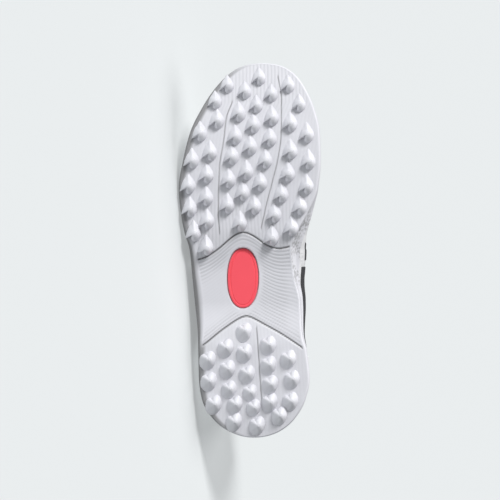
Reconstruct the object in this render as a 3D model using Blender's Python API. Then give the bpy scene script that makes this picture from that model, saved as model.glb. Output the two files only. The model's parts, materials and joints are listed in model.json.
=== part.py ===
"""A right turf shoe: a studded rubber cup sole and a hollow laced upper, lying on its lateral side.

Each piece is modelled in the shoe's own frame: heel at x = 0, toe at +x, medial side at +y, up at +z,
lug tips on z = 0. The last step turns the whole shoe onto its side, toe to -X and sole to -Y.
"""

import math

import bmesh
import bpy
import numpy as np
from mathutils import Matrix, Vector

# Driving dimensions, in metres
LENGTH = 0.285
BALL_WIDTH = 0.107
INSTEP_HEIGHT = 0.098
HEEL_HEIGHT = 0.090
TOE_HEIGHT = 0.055
CLEARANCE = 0.0003

# Sole
LUG_HEIGHT = 0.0063
LUG_LENGTH = 0.0142
LUG_WIDTH = 0.0114
LUG_SPACE = 0.97
LUG_SINK = 0.0012
SLOPE_STEP = 0.004
PLATE_TOE = 0.0045
PLATE_HEEL = 0.0085
TOE_SPRING = 0.0135
ARCH_RISE = 0.0045
HEEL_ROUND = 0.0022
RIM_WALL = 0.0022
RIM_ROUND = 0.0007
SIDE_BEVEL = 0.0030
SIDE_STEP = 0.0006
BEVEL_MIDDLE = 0.35
STEP_BELOW_RIM = 0.35
RIM_TOE = 0.0160
RIM_SIDE = 0.0110
GROOVE_WIDTH = 0.0012
GROOVE_DEPTH = 0.0011
INLAY_LENGTH = 0.0450
INLAY_WIDTH = 0.0230
INLAY_THICKNESS = 0.0012
INLAY_PROUD = 0.0003
INLAY_POWER = 0.9
INLAY_SIDES = 28
POCKET_REACH = 0.0040

# Upper
UPPER_WALL = 0.0020
INSOLE_THICKNESS = 0.0040
INSOLE_ROUND = 0.0010
EYESTAY_THICKNESS = 0.0012
COUNTER_THICKNESS = 0.0012
TONGUE_THICKNESS = 0.0042
TONGUE_RISE = 0.0200
TONGUE_SINK = 0.0010
TONGUE_GAP = 0.0009
EYELET_RADIUS = 0.0021
LACE_WIDTH = 0.0056
LACE_THICKNESS = 0.0014
LACE_WEAVE = 0.0003
LACE_BOW = 0.05
LACE_GAP = 0.0009
LACE_EDGE_LIFT = 1.30
LACE_LEAN = 0.22
LACE_END_T = 0.03
EYELET_SIDES = 10
EYELET_REACH = 0.0050

OVERLAY_GAP = 0.0005
COUNTER_LIFT = 0.0009
MERGE = 0.00002

# Mesh fineness
SHARP_ANGLE = 40
ANGLE_STEP = 0.012
SHARE_STEP = 0.01
STATIONS = 32
RIM_STEPS = 2
SIDE_STEPS = 4
BAND_STEPS = 2
RIB_STEPS = RIM_STEPS + SIDE_STEPS + BAND_STEPS
TONGUE_SIDE_STEPS = 2
PLATE_STEPS = 4
FLOOR_STEPS = 2

# Where along the sole each height changes, as shares of LENGTH
SPRING_FROM = 0.70
SPRING_POWER = 1.8
ARCH_BACK = (0.24, 0.36)
ARCH_FRONT = (0.44, 0.56)
HEEL_ROUND_TO = 0.10
HEEL_ROUND_POWER = 1.6
PLATE_THINS = (0.20, 0.62)
RIM_TOE_RISES = (0.80, 1.00)
RIM_HEEL_FALLS = (0.00, 0.16)
RIM_HEEL_SHARE = 0.8

# Sole edge seen from below: u is the share of LENGTH from the heel, the sides are shares of BALL_WIDTH
PLAN_COLUMNS = ("u", "lateral", "medial", "inset_lateral", "inset_medial")
PLAN = (
    (0.000, 0.028, 0.028, 0.010, 0.010),
    (0.012, -0.121, 0.185, 0.012, 0.012),
    (0.049, -0.259, 0.313, 0.014, 0.014),
    (0.103, -0.341, 0.394, 0.016, 0.016),
    (0.156, -0.362, 0.423, 0.018, 0.018),
    (0.231, -0.367, 0.402, 0.022, 0.020),
    (0.276, -0.370, 0.372, 0.040, 0.018),
    (0.369, -0.394, 0.356, 0.060, 0.015),
    (0.430, -0.410, 0.318, 0.052, 0.015),
    (0.503, -0.430, 0.300, 0.040, 0.015),
    (0.543, -0.462, 0.335, 0.022, 0.016),
    (0.583, -0.483, 0.394, 0.018, 0.016),
    (0.663, -0.504, 0.479, 0.016, 0.016),
    (0.743, -0.471, 0.501, 0.016, 0.016),
    (0.817, -0.420, 0.494, 0.016, 0.016),
    (0.876, -0.344, 0.458, 0.015, 0.015),
    (0.924, -0.263, 0.405, 0.014, 0.014),
    (0.967, -0.160, 0.327, 0.012, 0.012),
    (0.993, -0.043, 0.220, 0.010, 0.010),
    (1.000, 0.092, 0.092, 0.010, 0.010),
)

# Upper's ribs: where each ends at the top, its height as shares of the three named heights, how far its
# top bends over (0 upright, 1 level) and how far its first handle stands out on each side
RIB_COLUMNS = (
    "u", "top_u", "heel", "instep", "toe", "lateral", "medial", "crown", "belly_lateral", "belly_medial",
)
RIBS = (
    (0.00, 0.020, 1.00, 0.00, 0.00, 0.028, 0.028, 0.00, 0.055, 0.055),
    (0.03, 0.032, 0.99, 0.00, 0.00, -0.120, 0.165, 0.00, 0.050, 0.050),
    (0.09, 0.085, 0.92, 0.00, 0.00, -0.225, 0.255, 0.05, 0.040, 0.040),
    (0.17, 0.165, 0.82, 0.00, 0.00, -0.270, 0.290, 0.08, 0.040, 0.050),
    (0.26, 0.255, 0.77, 0.00, 0.00, -0.285, 0.300, 0.10, 0.040, 0.110),
    (0.33, 0.325, 0.42, 0.40, 0.00, -0.270, 0.290, 0.15, 0.030, 0.170),
    (0.385, 0.375, 0.00, 0.93, 0.00, -0.215, 0.240, 0.25, 0.020, 0.215),
    (0.42, 0.405, 0.00, 0.98, 0.00, -0.160, 0.190, 0.35, 0.020, 0.250),
    (0.50, 0.485, 0.00, 0.88, 0.00, -0.140, 0.170, 0.45, 0.020, 0.290),
    (0.58, 0.565, 0.00, 0.76, 0.00, -0.130, 0.155, 0.55, 0.030, 0.140),
    (0.64, 0.625, 0.00, 0.68, 0.00, -0.120, 0.145, 0.75, 0.030, 0.070),
    (0.69, 0.672, 0.00, 0.628, 0.00, -0.110, 0.135, 1.00, 0.030, 0.040),
    (0.75, 0.725, 0.00, 0.00, 1.06, -0.100, 0.130, 1.00, 0.030, 0.030),
    (0.84, 0.805, 0.00, 0.00, 0.99, -0.080, 0.120, 1.00, 0.030, 0.030),
    (0.92, 0.865, 0.00, 0.00, 0.95, 0.000, 0.100, 1.00, 0.035, 0.035),
    (1.00, 0.915, 0.00, 0.00, 0.90, 0.080, 0.080, 1.00, 0.040, 0.040),
)
THROAT_ROUND = (0.615, 0.690)
THROAT_LEAST = 0.45
SPINE_COLUMNS = ("u", "y")
SPINE = ((0.600, 0.012), (0.700, 0.014), (0.820, 0.034), (0.920, 0.062), (1.000, 0.080))

# Lugs under the sole, by row: u and v are shares of LENGTH and BALL_WIDTH
FOREFOOT_LUGS = (
    (0.943, -0.163), (0.900, -0.249), (0.815, -0.355), (0.743, -0.412), (0.676, -0.437),
    (0.615, -0.426), (0.551, -0.398),
    (0.849, -0.234), (0.764, -0.284), (0.704, -0.309), (0.644, -0.312), (0.583, -0.305), (0.513, -0.312),
    (0.927, -0.039), (0.868, -0.082), (0.807, -0.107), (0.753, -0.131), (0.691, -0.153), (0.624, -0.160),
    (0.964, 0.064), (0.889, 0.043), (0.837, 0.021), (0.779, 0.000), (0.713, -0.028), (0.657, -0.053),
    (0.577, -0.071),
    (0.919, 0.149), (0.857, 0.153), (0.801, 0.138), (0.743, 0.107), (0.683, 0.071), (0.621, 0.028),
    (0.943, 0.270), (0.841, 0.284), (0.768, 0.284), (0.708, 0.266), (0.653, 0.220), (0.600, 0.170),
    (0.539, 0.153),
    (0.892, 0.348), (0.812, 0.401), (0.741, 0.412), (0.675, 0.398), (0.620, 0.352), (0.564, 0.291),
)
HEEL_LUGS = (
    (0.204, -0.298), (0.148, -0.291), (0.087, -0.256), (0.041, -0.114),
    (0.236, -0.174), (0.180, -0.160), (0.127, -0.149), (0.087, -0.107),
    (0.279, -0.043), (0.223, -0.039), (0.167, -0.021), (0.119, 0.000), (0.079, 0.025), (0.031, 0.050),
    (0.244, 0.128), (0.191, 0.131), (0.140, 0.142), (0.092, 0.138), (0.057, 0.206),
    (0.207, 0.270), (0.153, 0.295), (0.095, 0.284),
)
SMALL_LUGS_FROM = 0.885
SMALL_LUG = 0.88

# A lug's outline seen from below, as shares of half its length and half its width; the point leads
LUG_OUTLINE = (
    (1.00, 0.00), (0.50, 0.60), (-0.35, 1.00), (-0.92, 0.74), (-1.00, 0.34),
)
LUG_CREST = (
    (-0.04, 0.00), (-0.16, 0.30), (-0.44, 0.54), (-0.72, 0.50), (-0.80, 0.26),
)
NOTCH_FLOOR = -0.86
NOTCH_TOP = (-0.38, 0.72)
CREST_HEIGHT = 0.96

# Flex grooves, as (u, v) shares: the front and back edges of the midfoot, then the lengthwise lines
GROOVES = {
    "front": ((0.470, -0.420), (0.478, -0.330), (0.505, -0.213), (0.529, -0.142), (0.546, -0.071),
              (0.547, -0.050), (0.534, 0.036), (0.515, 0.107), (0.503, 0.200), (0.511, 0.310)),
    "back": ((0.232, -0.395), (0.250, -0.320), (0.283, -0.213), (0.302, -0.142), (0.322, -0.064),
             (0.320, 0.030), (0.303, 0.107), (0.279, 0.213), (0.262, 0.284), (0.232, 0.400)),
    "left": ((0.892, -0.128), (0.852, -0.167), (0.788, -0.188), (0.716, -0.217), (0.604, -0.225),
             (0.545, -0.216)),
    "right": ((0.960, 0.199), (0.903, 0.222), (0.809, 0.220), (0.743, 0.197), (0.684, 0.160),
              (0.628, 0.121), (0.560, 0.080)),
    "heel": ((0.290, 0.046), (0.223, 0.060), (0.156, 0.071), (0.090, 0.085)),
}
INLAY_CENTRE = (0.425, -0.050)

EYELETS_BETWEEN = (0.43, 0.66)
EYELET_T = 0.905
EYESTAY_FRONT = 0.745
EYESTAY_BACK = 0.375
EYESTAY_T = 0.76
COUNTER_FRONT = 0.215
COUNTER_TOP_T = 0.66
COUNTER_FRONT_T = 0.44

TONGUE_FRONT = 0.740
TONGUE_BACK = 0.415
TONGUE_T_FRONT = 0.78
TONGUE_T_BACK = 0.90
TONGUE_OPEN = (0.10, 0.24)

# Tongue above the throat, as shares of its rise: how far back, how far up, and its width and arch
TONGUE_COLUMNS = ("back", "up", "width", "arch")
TONGUE_TOP = (
    (0.30, 0.22, 1.00, 0.90),
    (0.62, 0.52, 1.14, 0.75),
    (0.86, 0.82, 1.20, 0.66),
    (0.97, 1.00, 1.02, 0.60),
)

LATERAL_LEAST = -0.5
DENSITIES = {"rubber": 1150.0, "shell": 650.0, "foam": 250.0, "cord": 800.0}


def table_columns(names, rows):
    """Turn rows into one array per named column."""
    return dict(zip(names, np.array(rows).T))


def angle_of(u):
    """Angle that spaces stations closely at both ends."""
    return np.arccos(1.0 - 2.0 * np.clip(u, 0.0, 1.0))


def smooth(keys, values, at):
    """Cubic curve through a table's points, without overshoot."""
    keys = np.asarray(keys, float)
    values = np.asarray(values, float)
    step = np.diff(keys)
    slope = np.diff(values) / step
    tangent = np.zeros(len(keys))
    same = slope[:-1] * slope[1:] > 0
    before = 2 * step[1:] + step[:-1]
    after = step[1:] + 2 * step[:-1]
    with np.errstate(divide="ignore", invalid="ignore"):
        mean = (before + after) / (before / slope[:-1] + after / slope[1:])
    tangent[1:-1] = np.where(same, mean, 0.0)
    tangent[0] = slope[0]
    tangent[-1] = slope[-1]
    at = np.clip(at, keys[0], keys[-1])
    i = np.clip(np.searchsorted(keys, at, side="right") - 1, 0, len(step) - 1)
    t = (at - keys[i]) / step[i]
    low = (1 + 2 * t) * (1 - t) ** 2 * values[i] + t * (1 - t) ** 2 * step[i] * tangent[i]
    high = t * t * (3 - 2 * t) * values[i + 1] + t * t * (t - 1) * step[i] * tangent[i + 1]
    return low + high


PLAN_TABLE = table_columns(PLAN_COLUMNS, PLAN)
RIB_TABLE = table_columns(RIB_COLUMNS, RIBS)
SPINE_TABLE = table_columns(SPINE_COLUMNS, SPINE)


def plan_value(column, u):
    """A column of the sole's plan at a share of the length, in metres."""
    return BALL_WIDTH * smooth(angle_of(PLAN_TABLE["u"]), PLAN_TABLE[column], angle_of(u))


def rib_value(column, u):
    """A column of the upper's rib table at a share of the length."""
    return smooth(angle_of(RIB_TABLE["u"]), RIB_TABLE[column], angle_of(u))


def throat_width(u):
    """Share of its full width that the throat has: 1 behind its rounded front end, 0 past it."""
    start, end = THROAT_ROUND
    wide = math.sqrt(max(1.0 - max((u - start) / (end - start), 0.0) ** 2, 0.0))
    return wide if wide >= THROAT_LEAST else 0.0


def top_side(name, u):
    """Sideways place of a rib's top: on the throat or collar edge, or on the spine past the throat."""
    spine = BALL_WIDTH * smooth(SPINE_TABLE["u"], SPINE_TABLE["y"], u)
    edge = BALL_WIDTH * rib_value(name, u)
    return spine + (edge - spine) * throat_width(u)


def blend(start, end, at):
    """Soft step from 0 at start to 1 at end."""
    t = np.clip((at - start) / (end - start), 0.0, 1.0)
    return t * t * (3 - 2 * t)


def plate_bottom(u):
    """Height of the sole's underside above the ground."""
    spring = TOE_SPRING * np.clip((u - SPRING_FROM) / (1 - SPRING_FROM), 0.0, 1.0) ** SPRING_POWER
    arch = ARCH_RISE * blend(*ARCH_BACK, u) * (1 - blend(*ARCH_FRONT, u))
    heel = HEEL_ROUND * np.clip(1 - u / HEEL_ROUND_TO, 0.0, 1.0) ** HEEL_ROUND_POWER
    return LUG_HEIGHT + spring + arch + heel


def floor_top(u):
    """Height of the cup's inner floor."""
    return plate_bottom(u) + PLATE_HEEL + (PLATE_TOE - PLATE_HEEL) * blend(*PLATE_THINS, u)


def rim_top(u):
    """Height of the cup's rim: high at both ends."""
    ends = np.maximum(blend(*RIM_TOE_RISES, u), RIM_HEEL_SHARE * (1 - blend(*RIM_HEEL_FALLS, u)))
    return plate_bottom(u) + RIM_SIDE + (RIM_TOE - RIM_SIDE) * ends


def loop_of_stations():
    """The shares and sides of all ribs: heel tip, medial side, toe tip, lateral side."""
    shares = (1 - np.cos(np.linspace(0.0, math.pi, STATIONS + 1))) / 2
    medial = [(u, 1) for u in shares[:-1]]
    lateral = [(u, -1) for u in shares[:0:-1]]
    return medial + lateral


def plan_point(u, side):
    """Outer edge of the sole in plan."""
    return np.array((LENGTH * u, plan_value("medial" if side > 0 else "lateral", u)))


def plan_normal(u, side):
    """Outward direction of the sole's edge in plan."""
    if u <= 0.0:
        return np.array((-1.0, 0.0))
    if u >= 1.0:
        return np.array((1.0, 0.0))
    angle = angle_of(u)
    low = (1 - math.cos(max(angle - ANGLE_STEP, 0.0))) / 2
    high = (1 - math.cos(min(angle + ANGLE_STEP, math.pi))) / 2
    along = plan_point(high, side) - plan_point(low, side)
    normal = np.array((-along[1], along[0])) * side
    return normal / np.linalg.norm(normal)


class Rib:
    """One line of the upper from the sole to its top edge, a curve with two handles."""

    HANDLE = 0.36
    CROWN_HANDLE = 0.52
    HALVINGS = 30

    def __init__(self, u, side):
        inset = RIM_WALL + CLEARANCE
        base = plan_point(u, side) - plan_normal(u, side) * inset
        normal = plan_normal(u, side)
        name = "medial" if side > 0 else "lateral"
        top_z = (
            rib_value("heel", u) * HEEL_HEIGHT
            + rib_value("instep", u) * INSTEP_HEIGHT
            + rib_value("toe", u) * TOE_HEIGHT
        )
        low = floor_top(u) + CLEARANCE
        height = top_z - low
        crown = rib_value("crown", u)
        belly = rib_value("belly_" + name, u) * BALL_WIDTH
        top = np.array((LENGTH * rib_value("top_u", u), top_side(name, u)))
        out = (base - top) * crown * self.CROWN_HANDLE
        first = base + normal * belly
        second = top + out
        self.points = np.array((
            (*base, low),
            (*first, low + self.HANDLE * height),
            (*second, top_z - (1 - crown) * self.HANDLE * height),
            (*top, top_z),
        ))
        self.u = u
        self.side = side

    def at(self, t):
        """Point at share t of the way up."""
        a, b, c, d = self.points
        s = 1 - t
        return a * s ** 3 + 3 * b * s * s * t + 3 * c * s * t * t + d * t ** 3

    def share_at_height(self, z):
        """Share t at which the rib reaches a height."""
        low, high = 0.0, 1.0
        for _ in range(self.HALVINGS):
            middle = (low + high) / 2
            if self.at(middle)[2] < z:
                low = middle
            else:
                high = middle
        return (low + high) / 2


def rib_shares(u, side):
    """Shares at which a rib has points: up to the sole's rim, up to the eyestay's edge, and to the top."""
    rim = Rib(u, side).share_at_height(float(rim_top(u)))
    low = np.linspace(0.0, rim, RIM_STEPS + 1)
    middle = np.linspace(rim, EYESTAY_T, SIDE_STEPS + 1)
    high = np.linspace(EYESTAY_T, 1.0, BAND_STEPS + 1)
    return np.concatenate((low, middle[1:], high[1:]))


def side_normal(u, side, t):
    """Outward direction of one side's surface."""
    angle = angle_of(u)
    low = (1 - math.cos(max(angle - ANGLE_STEP, 0.0))) / 2
    high = (1 - math.cos(min(angle + ANGLE_STEP, math.pi))) / 2
    if u <= 0.0:
        along = Rib(high, 1).at(t) - Rib(high, -1).at(t)
        side = 1
    elif u >= 1.0:
        along = Rib(low, -1).at(t) - Rib(low, 1).at(t)
        side = 1
    else:
        along = Rib(high, side).at(t) - Rib(low, side).at(t)
    rib = Rib(u, side)
    up = rib.at(min(t + SHARE_STEP, 1.0)) - rib.at(max(t - SHARE_STEP, 0.0))
    normal = np.cross(up, along) * side
    return normal / np.linalg.norm(normal)


def surface_normal(u, side, t):
    """Outward direction of the upper's outer surface, the same from both sides on the spine."""
    normal = side_normal(u, side, t)
    if t >= 1.0 and throat_width(u) == 0.0 and u < 1.0:
        normal = normal + side_normal(u, -side, t)
        normal = normal / np.linalg.norm(normal)
    return normal


def lifted(u, side, t, height):
    """Point that stands off the upper's outer surface."""
    return Rib(u, side).at(t) + surface_normal(u, side, t) * height


def level_lift(u, side, t, height):
    """Point at the same level that stands off the upper's outer surface."""
    normal = surface_normal(u, side, t)
    flat = np.array((normal[0], normal[1], 0.0))
    return Rib(u, side).at(t) + flat * (height / np.dot(flat, flat))


def new_object(name, vertices, faces, slot=None):
    """Make a mesh object from points and faces, with its normals facing out."""
    mesh = bpy.data.meshes.new(name)
    mesh.from_pydata([tuple(float(c) for c in v) for v in vertices], [], faces)
    work = bmesh.new()
    work.from_mesh(mesh)
    bmesh.ops.recalc_face_normals(work, faces=work.faces)
    work.to_mesh(mesh)
    work.free()
    item = bpy.data.objects.new(name, mesh)
    bpy.context.scene.collection.objects.link(item)
    mesh.shade_smooth()
    mesh.set_sharp_from_angle(angle=math.radians(SHARP_ANGLE))
    if slot:
        mesh.materials.append(slot)
    return item


def material(name, colour, roughness, metallic=0.0):
    """Plain Principled material."""
    made = bpy.data.materials.new(name)
    made.use_nodes = True
    shader = made.node_tree.nodes["Principled BSDF"]
    shader.inputs["Base Color"].default_value = (*colour, 1.0)
    shader.inputs["Roughness"].default_value = roughness
    shader.inputs["Metallic"].default_value = metallic
    return made


def helper(item):
    """Mark a cutter or a joined part as a guide."""
    item.hide_render = True
    item.display_type = "WIRE"


def boolean(item, other, operation):
    """Join or cut with another closed shape."""
    change = item.modifiers.new(other.name, "BOOLEAN")
    change.operation = operation
    change.solver = "EXACT"
    change.object = other
    helper(other)


def stitch(rings):
    """Faces between closed rings of equal size."""
    count = len(rings[0])
    faces = []
    for low, high in zip(rings[:-1], rings[1:]):
        for i in range(count):
            j = (i + 1) % count
            faces.append((low[i], low[j], high[j], high[i]))
    return faces


def span_faces(ring, vertices, steps):
    """Fill the inside of a ring with rows from the medial to the lateral side."""
    half = STATIONS
    count = len(ring)
    rows = [[ring[0]]]
    for i in range(1, half):
        start = ring[i]
        end = ring[count - i]
        row = [start]
        for k in range(1, steps):
            share = k / steps
            vertices.append(vertices[start] * (1 - share) + vertices[end] * share)
            row.append(len(vertices) - 1)
        rows.append(row + [end])
    rows.append([ring[half]])
    faces = []
    for row, following in zip(rows[:-1], rows[1:]):
        if len(row) == 1:
            faces += [(row[0], following[k + 1], following[k]) for k in range(steps)]
        elif len(following) == 1:
            faces += [(row[k], row[k + 1], following[0]) for k in range(steps)]
        else:
            faces += [(row[k], row[k + 1], following[k + 1], following[k]) for k in range(steps)]
    return faces


def outsole_shell(slot):
    """The rubber cup: plate, side wall with its step, rim and inner wall."""
    ribs = loop_of_stations()
    vertices = []
    rings = [[] for _ in range(6 + RIM_STEPS + 1)]
    for u, side in ribs:
        name = "medial" if side > 0 else "lateral"
        edge = plan_point(u, side)
        normal = plan_normal(u, side)
        bottom = float(plate_bottom(u))
        top = float(rim_top(u))
        inset = plan_value("inset_" + name, u)
        rib = Rib(u, side)
        shares = rib_shares(u, side)
        inner = [level_lift(u, side, shares[k], CLEARANCE) for k in range(RIM_STEPS + 1)]
        inner[0][2] = floor_top(u)
        t_step = rib.share_at_height(top - STEP_BELOW_RIM * (top - bottom))
        outer_step = level_lift(u, side, t_step, CLEARANCE + RIM_WALL)
        outer_rim_top = level_lift(u, side, shares[RIM_STEPS], CLEARANCE + RIM_WALL - SIDE_STEP - RIM_ROUND)
        inner_step_top = level_lift(u, side, t_step, CLEARANCE + RIM_WALL - SIDE_STEP)
        profile = (
            (*(edge - normal * inset), bottom),
            (*(edge - normal * inset * BEVEL_MIDDLE), bottom + SIDE_BEVEL * BEVEL_MIDDLE),
            (*edge, bottom + SIDE_BEVEL),
            outer_step,
            inner_step_top + np.array((0, 0, SIDE_STEP)),
            outer_rim_top,
            *inner[::-1],
        )
        for ring, point in zip(rings, profile):
            vertices.append(np.array(point, float))
            ring.append(len(vertices) - 1)
    faces = stitch(rings)
    faces += span_faces(rings[0], vertices, PLATE_STEPS)
    faces += span_faces(rings[-1], vertices, FLOOR_STEPS)
    return new_object("outsole", vertices, faces, slot)


def lug_points(centre, heading, scale):
    """Points and faces of one lug: a ramp that rises to a notched crest."""
    u, v = centre
    rise = plate_bottom(u + SLOPE_STEP) - plate_bottom(u - SLOPE_STEP)
    slope = float(rise / (2 * SLOPE_STEP * LENGTH))
    forward = Vector((1.0, 0.0, slope)).normalized()
    down = Vector((slope, 0.0, -1.0)).normalized()
    sideways = Vector((0.0, 1.0, 0.0))
    origin = Vector((LENGTH * u, BALL_WIDTH * v, float(plate_bottom(u))))
    half_length = 0.5 * LUG_LENGTH * scale
    half_width = 0.5 * LUG_WIDTH * scale
    height = LUG_HEIGHT * scale

    def place(along, across, lift):
        ahead = forward * (along * half_length * heading)
        return origin + ahead + sideways * (across * half_width) + down * lift

    def ring(outline, lift):
        right = [place(a, b, lift) for a, b in outline]
        left = [place(a, -b, lift) for a, b in reversed(outline) if b > 0]
        return right + left

    root = ring(LUG_OUTLINE, -LUG_SINK)
    crest = ring(LUG_CREST, height * CREST_HEIGHT)
    crest[0] = place(LUG_CREST[0][0], 0.0, height)
    points = root + crest
    count = len(root)
    notch_low = len(points)
    points.append(place(NOTCH_FLOOR, 0.0, -LUG_SINK))
    notch_top = len(points)
    points.append(place(NOTCH_TOP[0], 0.0, height * NOTCH_TOP[1]))
    last = len(LUG_OUTLINE) - 1
    faces = [tuple(range(count))]
    for i in range(count):
        j = (i + 1) % count
        if i != last:
            faces.append((i, j, count + j, count + i))
            faces.append((count + i, count + j, notch_top))
    faces.append((last, last + 1, notch_low))
    faces.append((last, notch_low, notch_top, count + last))
    faces.append((notch_low, last + 1, count + last + 1, notch_top))
    return points, faces


def lug_scale(place, places):
    """Size of a lug: smaller at the toe, and never so large that it meets its neighbour."""
    spans = [
        math.hypot((u - place[0]) * LENGTH / LUG_LENGTH, (v - place[1]) * BALL_WIDTH / LUG_WIDTH)
        for u, v in places
        if (u, v) != place
    ]
    largest = SMALL_LUG if place[0] > SMALL_LUGS_FROM else 1.0
    return min(largest, LUG_SPACE * min(spans))


def lugs():
    """All the lugs as one guide object."""
    vertices = []
    faces = []
    for heading, places in ((1, FOREFOOT_LUGS), (-1, HEEL_LUGS)):
        for place in places:
            points, made = lug_points(place, heading, lug_scale(place, places))
            start = len(vertices)
            vertices += points
            faces += [tuple(start + i for i in face) for face in made]
    return new_object("lug_shapes", vertices, faces)


def groove_bars():
    """Square bars under the plate, one along each flex groove."""
    vertices = []
    faces = []
    for line in GROOVES.values():
        points = [Vector((LENGTH * u, BALL_WIDTH * v, float(plate_bottom(u)))) for u, v in line]
        start = len(vertices)
        for i, point in enumerate(points):
            ahead = points[min(i + 1, len(points) - 1)] - points[max(i - 1, 0)]
            across = Vector((-ahead.y, ahead.x, 0.0)).normalized() * (0.5 * GROOVE_WIDTH)
            deep = Vector((0, 0, GROOVE_DEPTH))
            clear = Vector((0, 0, -GROOVE_DEPTH))
            vertices += [point - across + clear, point + across + clear, point + across + deep,
                         point - across + deep]
        for i in range(len(points) - 1):
            a = start + 4 * i
            for k in range(4):
                j = (k + 1) % 4
                faces.append((a + k, a + j, a + 4 + j, a + 4 + k))
        faces.append(tuple(start + k for k in range(4)))
        faces.append(tuple(start + 4 * (len(points) - 1) + k for k in range(4)))
    return new_object("groove_bars", vertices, faces)


def inlay_prism(name, margin, deep, proud, slot=None):
    """A rounded lozenge prism under the midfoot, used for the inlay and for its pocket."""
    u, v = INLAY_CENTRE
    half_length = 0.5 * INLAY_LENGTH + margin
    half_width = 0.5 * INLAY_WIDTH + margin
    level = float(plate_bottom(u))
    sides = INLAY_SIDES
    outline = []
    for i in range(sides):
        angle = 2 * math.pi * i / sides
        x = math.copysign(abs(math.cos(angle)) ** INLAY_POWER, math.cos(angle))
        y = math.copysign(abs(math.sin(angle)) ** INLAY_POWER, math.sin(angle))
        outline.append((LENGTH * u + half_length * x, BALL_WIDTH * v + half_width * y))
    vertices = [(x, y, level - proud) for x, y in outline] + [(x, y, level + deep) for x, y in outline]
    faces = [tuple(range(sides)), tuple(range(sides, 2 * sides))]
    faces += [(i, (i + 1) % sides, sides + (i + 1) % sides, sides + i) for i in range(sides)]
    return new_object(name, vertices, faces, slot)


def upper_shell(slot):
    """The hollow upper: ribs all round, given its wall inwards."""
    ribs = loop_of_stations()
    vertices = []
    for u, side in ribs:
        rib = Rib(u, side)
        vertices += [rib.at(t) for t in rib_shares(u, side)]
    size = RIB_STEPS + 1
    faces = []
    for i in range(len(ribs)):
        a = i * size
        b = (i + 1) % len(ribs) * size
        faces += [(a + k, a + k + 1, b + k + 1, b + k) for k in range(RIB_STEPS)]
    return skin_object("upper", vertices, faces, UPPER_WALL, -1.0, slot)


def chord_point(u, side, t, height):
    """Point off the upper's faceted surface, on the straight chord between two of a rib's points."""
    shares = rib_shares(u, side)
    k = int(np.clip(np.searchsorted(shares, t, side="right") - 1, 0, RIB_STEPS - 1))
    part = (t - shares[k]) / (shares[k + 1] - shares[k])
    low = lifted(u, side, shares[k], height)
    high = lifted(u, side, shares[k + 1], height)
    return low + (high - low) * part


def overlay(name, strips, thickness, slot):
    """A band that lies on the upper, its base along the upper's own facets, thickened outwards.

    Each strip is a list of columns: a rib's share and side, and the band's lowest and highest share t.
    Strips run forward on the lateral side and back on the medial side.
    """
    base = []
    faces = []
    size = RIB_STEPS + 1
    for columns in strips:
        start = len(base)
        for u, side, low, high in columns:
            base += [chord_point(u, side, t, OVERLAY_GAP) for t in np.clip(rib_shares(u, side), low, high)]
        for i in range(len(columns) - 1):
            for k in range(RIB_STEPS):
                a = start + i * size + k
                faces.append((a + size, a + size + 1, a + 1, a))
    return skin_object(name, base, faces, thickness, 1.0, slot)


def skin_object(name, vertices, faces, thickness, way, slot):
    """A surface given its thickness outwards (way 1) or inwards (way -1)."""
    mesh = bpy.data.meshes.new(name)
    mesh.from_pydata([tuple(float(c) for c in v) for v in vertices], [], faces)
    work = bmesh.new()
    work.from_mesh(mesh)
    bmesh.ops.remove_doubles(work, verts=work.verts, dist=MERGE)
    bmesh.ops.triangulate(work, faces=work.faces, quad_method="FIXED")
    work.to_mesh(mesh)
    work.free()
    item = bpy.data.objects.new(name, mesh)
    bpy.context.scene.collection.objects.link(item)
    mesh.shade_smooth()
    mesh.materials.append(slot)
    wall = item.modifiers.new("wall", "SOLIDIFY")
    wall.thickness = thickness
    wall.offset = way
    return item


def stations_between(start, end):
    """The stations' shares of the length that lie between two shares."""
    return [u for u, side in loop_of_stations() if side > 0 and start <= u <= end]


def eyestay(slot):
    """Reinforcing band around the throat: both sides run forward and meet on the vamp."""
    shares = stations_between(EYESTAY_BACK, EYESTAY_FRONT)
    lateral = [(u, -1, EYESTAY_T, 1.0) for u in shares]
    medial = [(u, 1, EYESTAY_T, 1.0) for u in shares[::-1]]
    return overlay("eyestay", (lateral, medial), EYESTAY_THICKNESS, slot)


def heel_counter(slot):
    """Moulded overlay around the heel, highest at the back."""
    shares = stations_between(0.0, COUNTER_FRONT)
    columns = []
    for side, ordered in ((1, shares[::-1]), (-1, shares[1:])):
        for u in ordered:
            low = Rib(u, side).share_at_height(float(rim_top(u)) + COUNTER_LIFT)
            part = u / COUNTER_FRONT
            high = COUNTER_TOP_T + (COUNTER_FRONT_T - COUNTER_TOP_T) * part ** 2
            columns.append((u, side, low, high))
    return overlay("heel_counter", (columns,), COUNTER_THICKNESS, slot)


def insole(slot):
    """Foam footbed between the upper's walls, its side upright or leaning in with them."""
    vertices = []
    rings = [[] for _ in range(3)]
    margin = UPPER_WALL + 2 * CLEARANCE
    for u, side in loop_of_stations():
        low = float(floor_top(u)) + CLEARANCE
        high = low + INSOLE_THICKNESS
        foot = level_lift(u, side, 0.0, -margin)[:2]
        edge = level_lift(u, side, Rib(u, side).share_at_height(high), -margin)[:2]
        outward = level_normal(u, side)[:2]
        if np.dot(edge - foot, outward) > 0:
            edge = foot
        profile = (
            (*foot, low),
            (*edge, high - INSOLE_ROUND),
            (*(edge - outward * INSOLE_ROUND), high),
        )
        for ring, point in zip(rings, profile):
            vertices.append(np.array(point, float))
            ring.append(len(vertices) - 1)
    faces = stitch(rings)
    faces += span_faces(rings[0], vertices, FLOOR_STEPS)
    faces += span_faces(rings[-1], vertices, FLOOR_STEPS)
    return new_object("insole", vertices, faces, slot)


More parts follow.
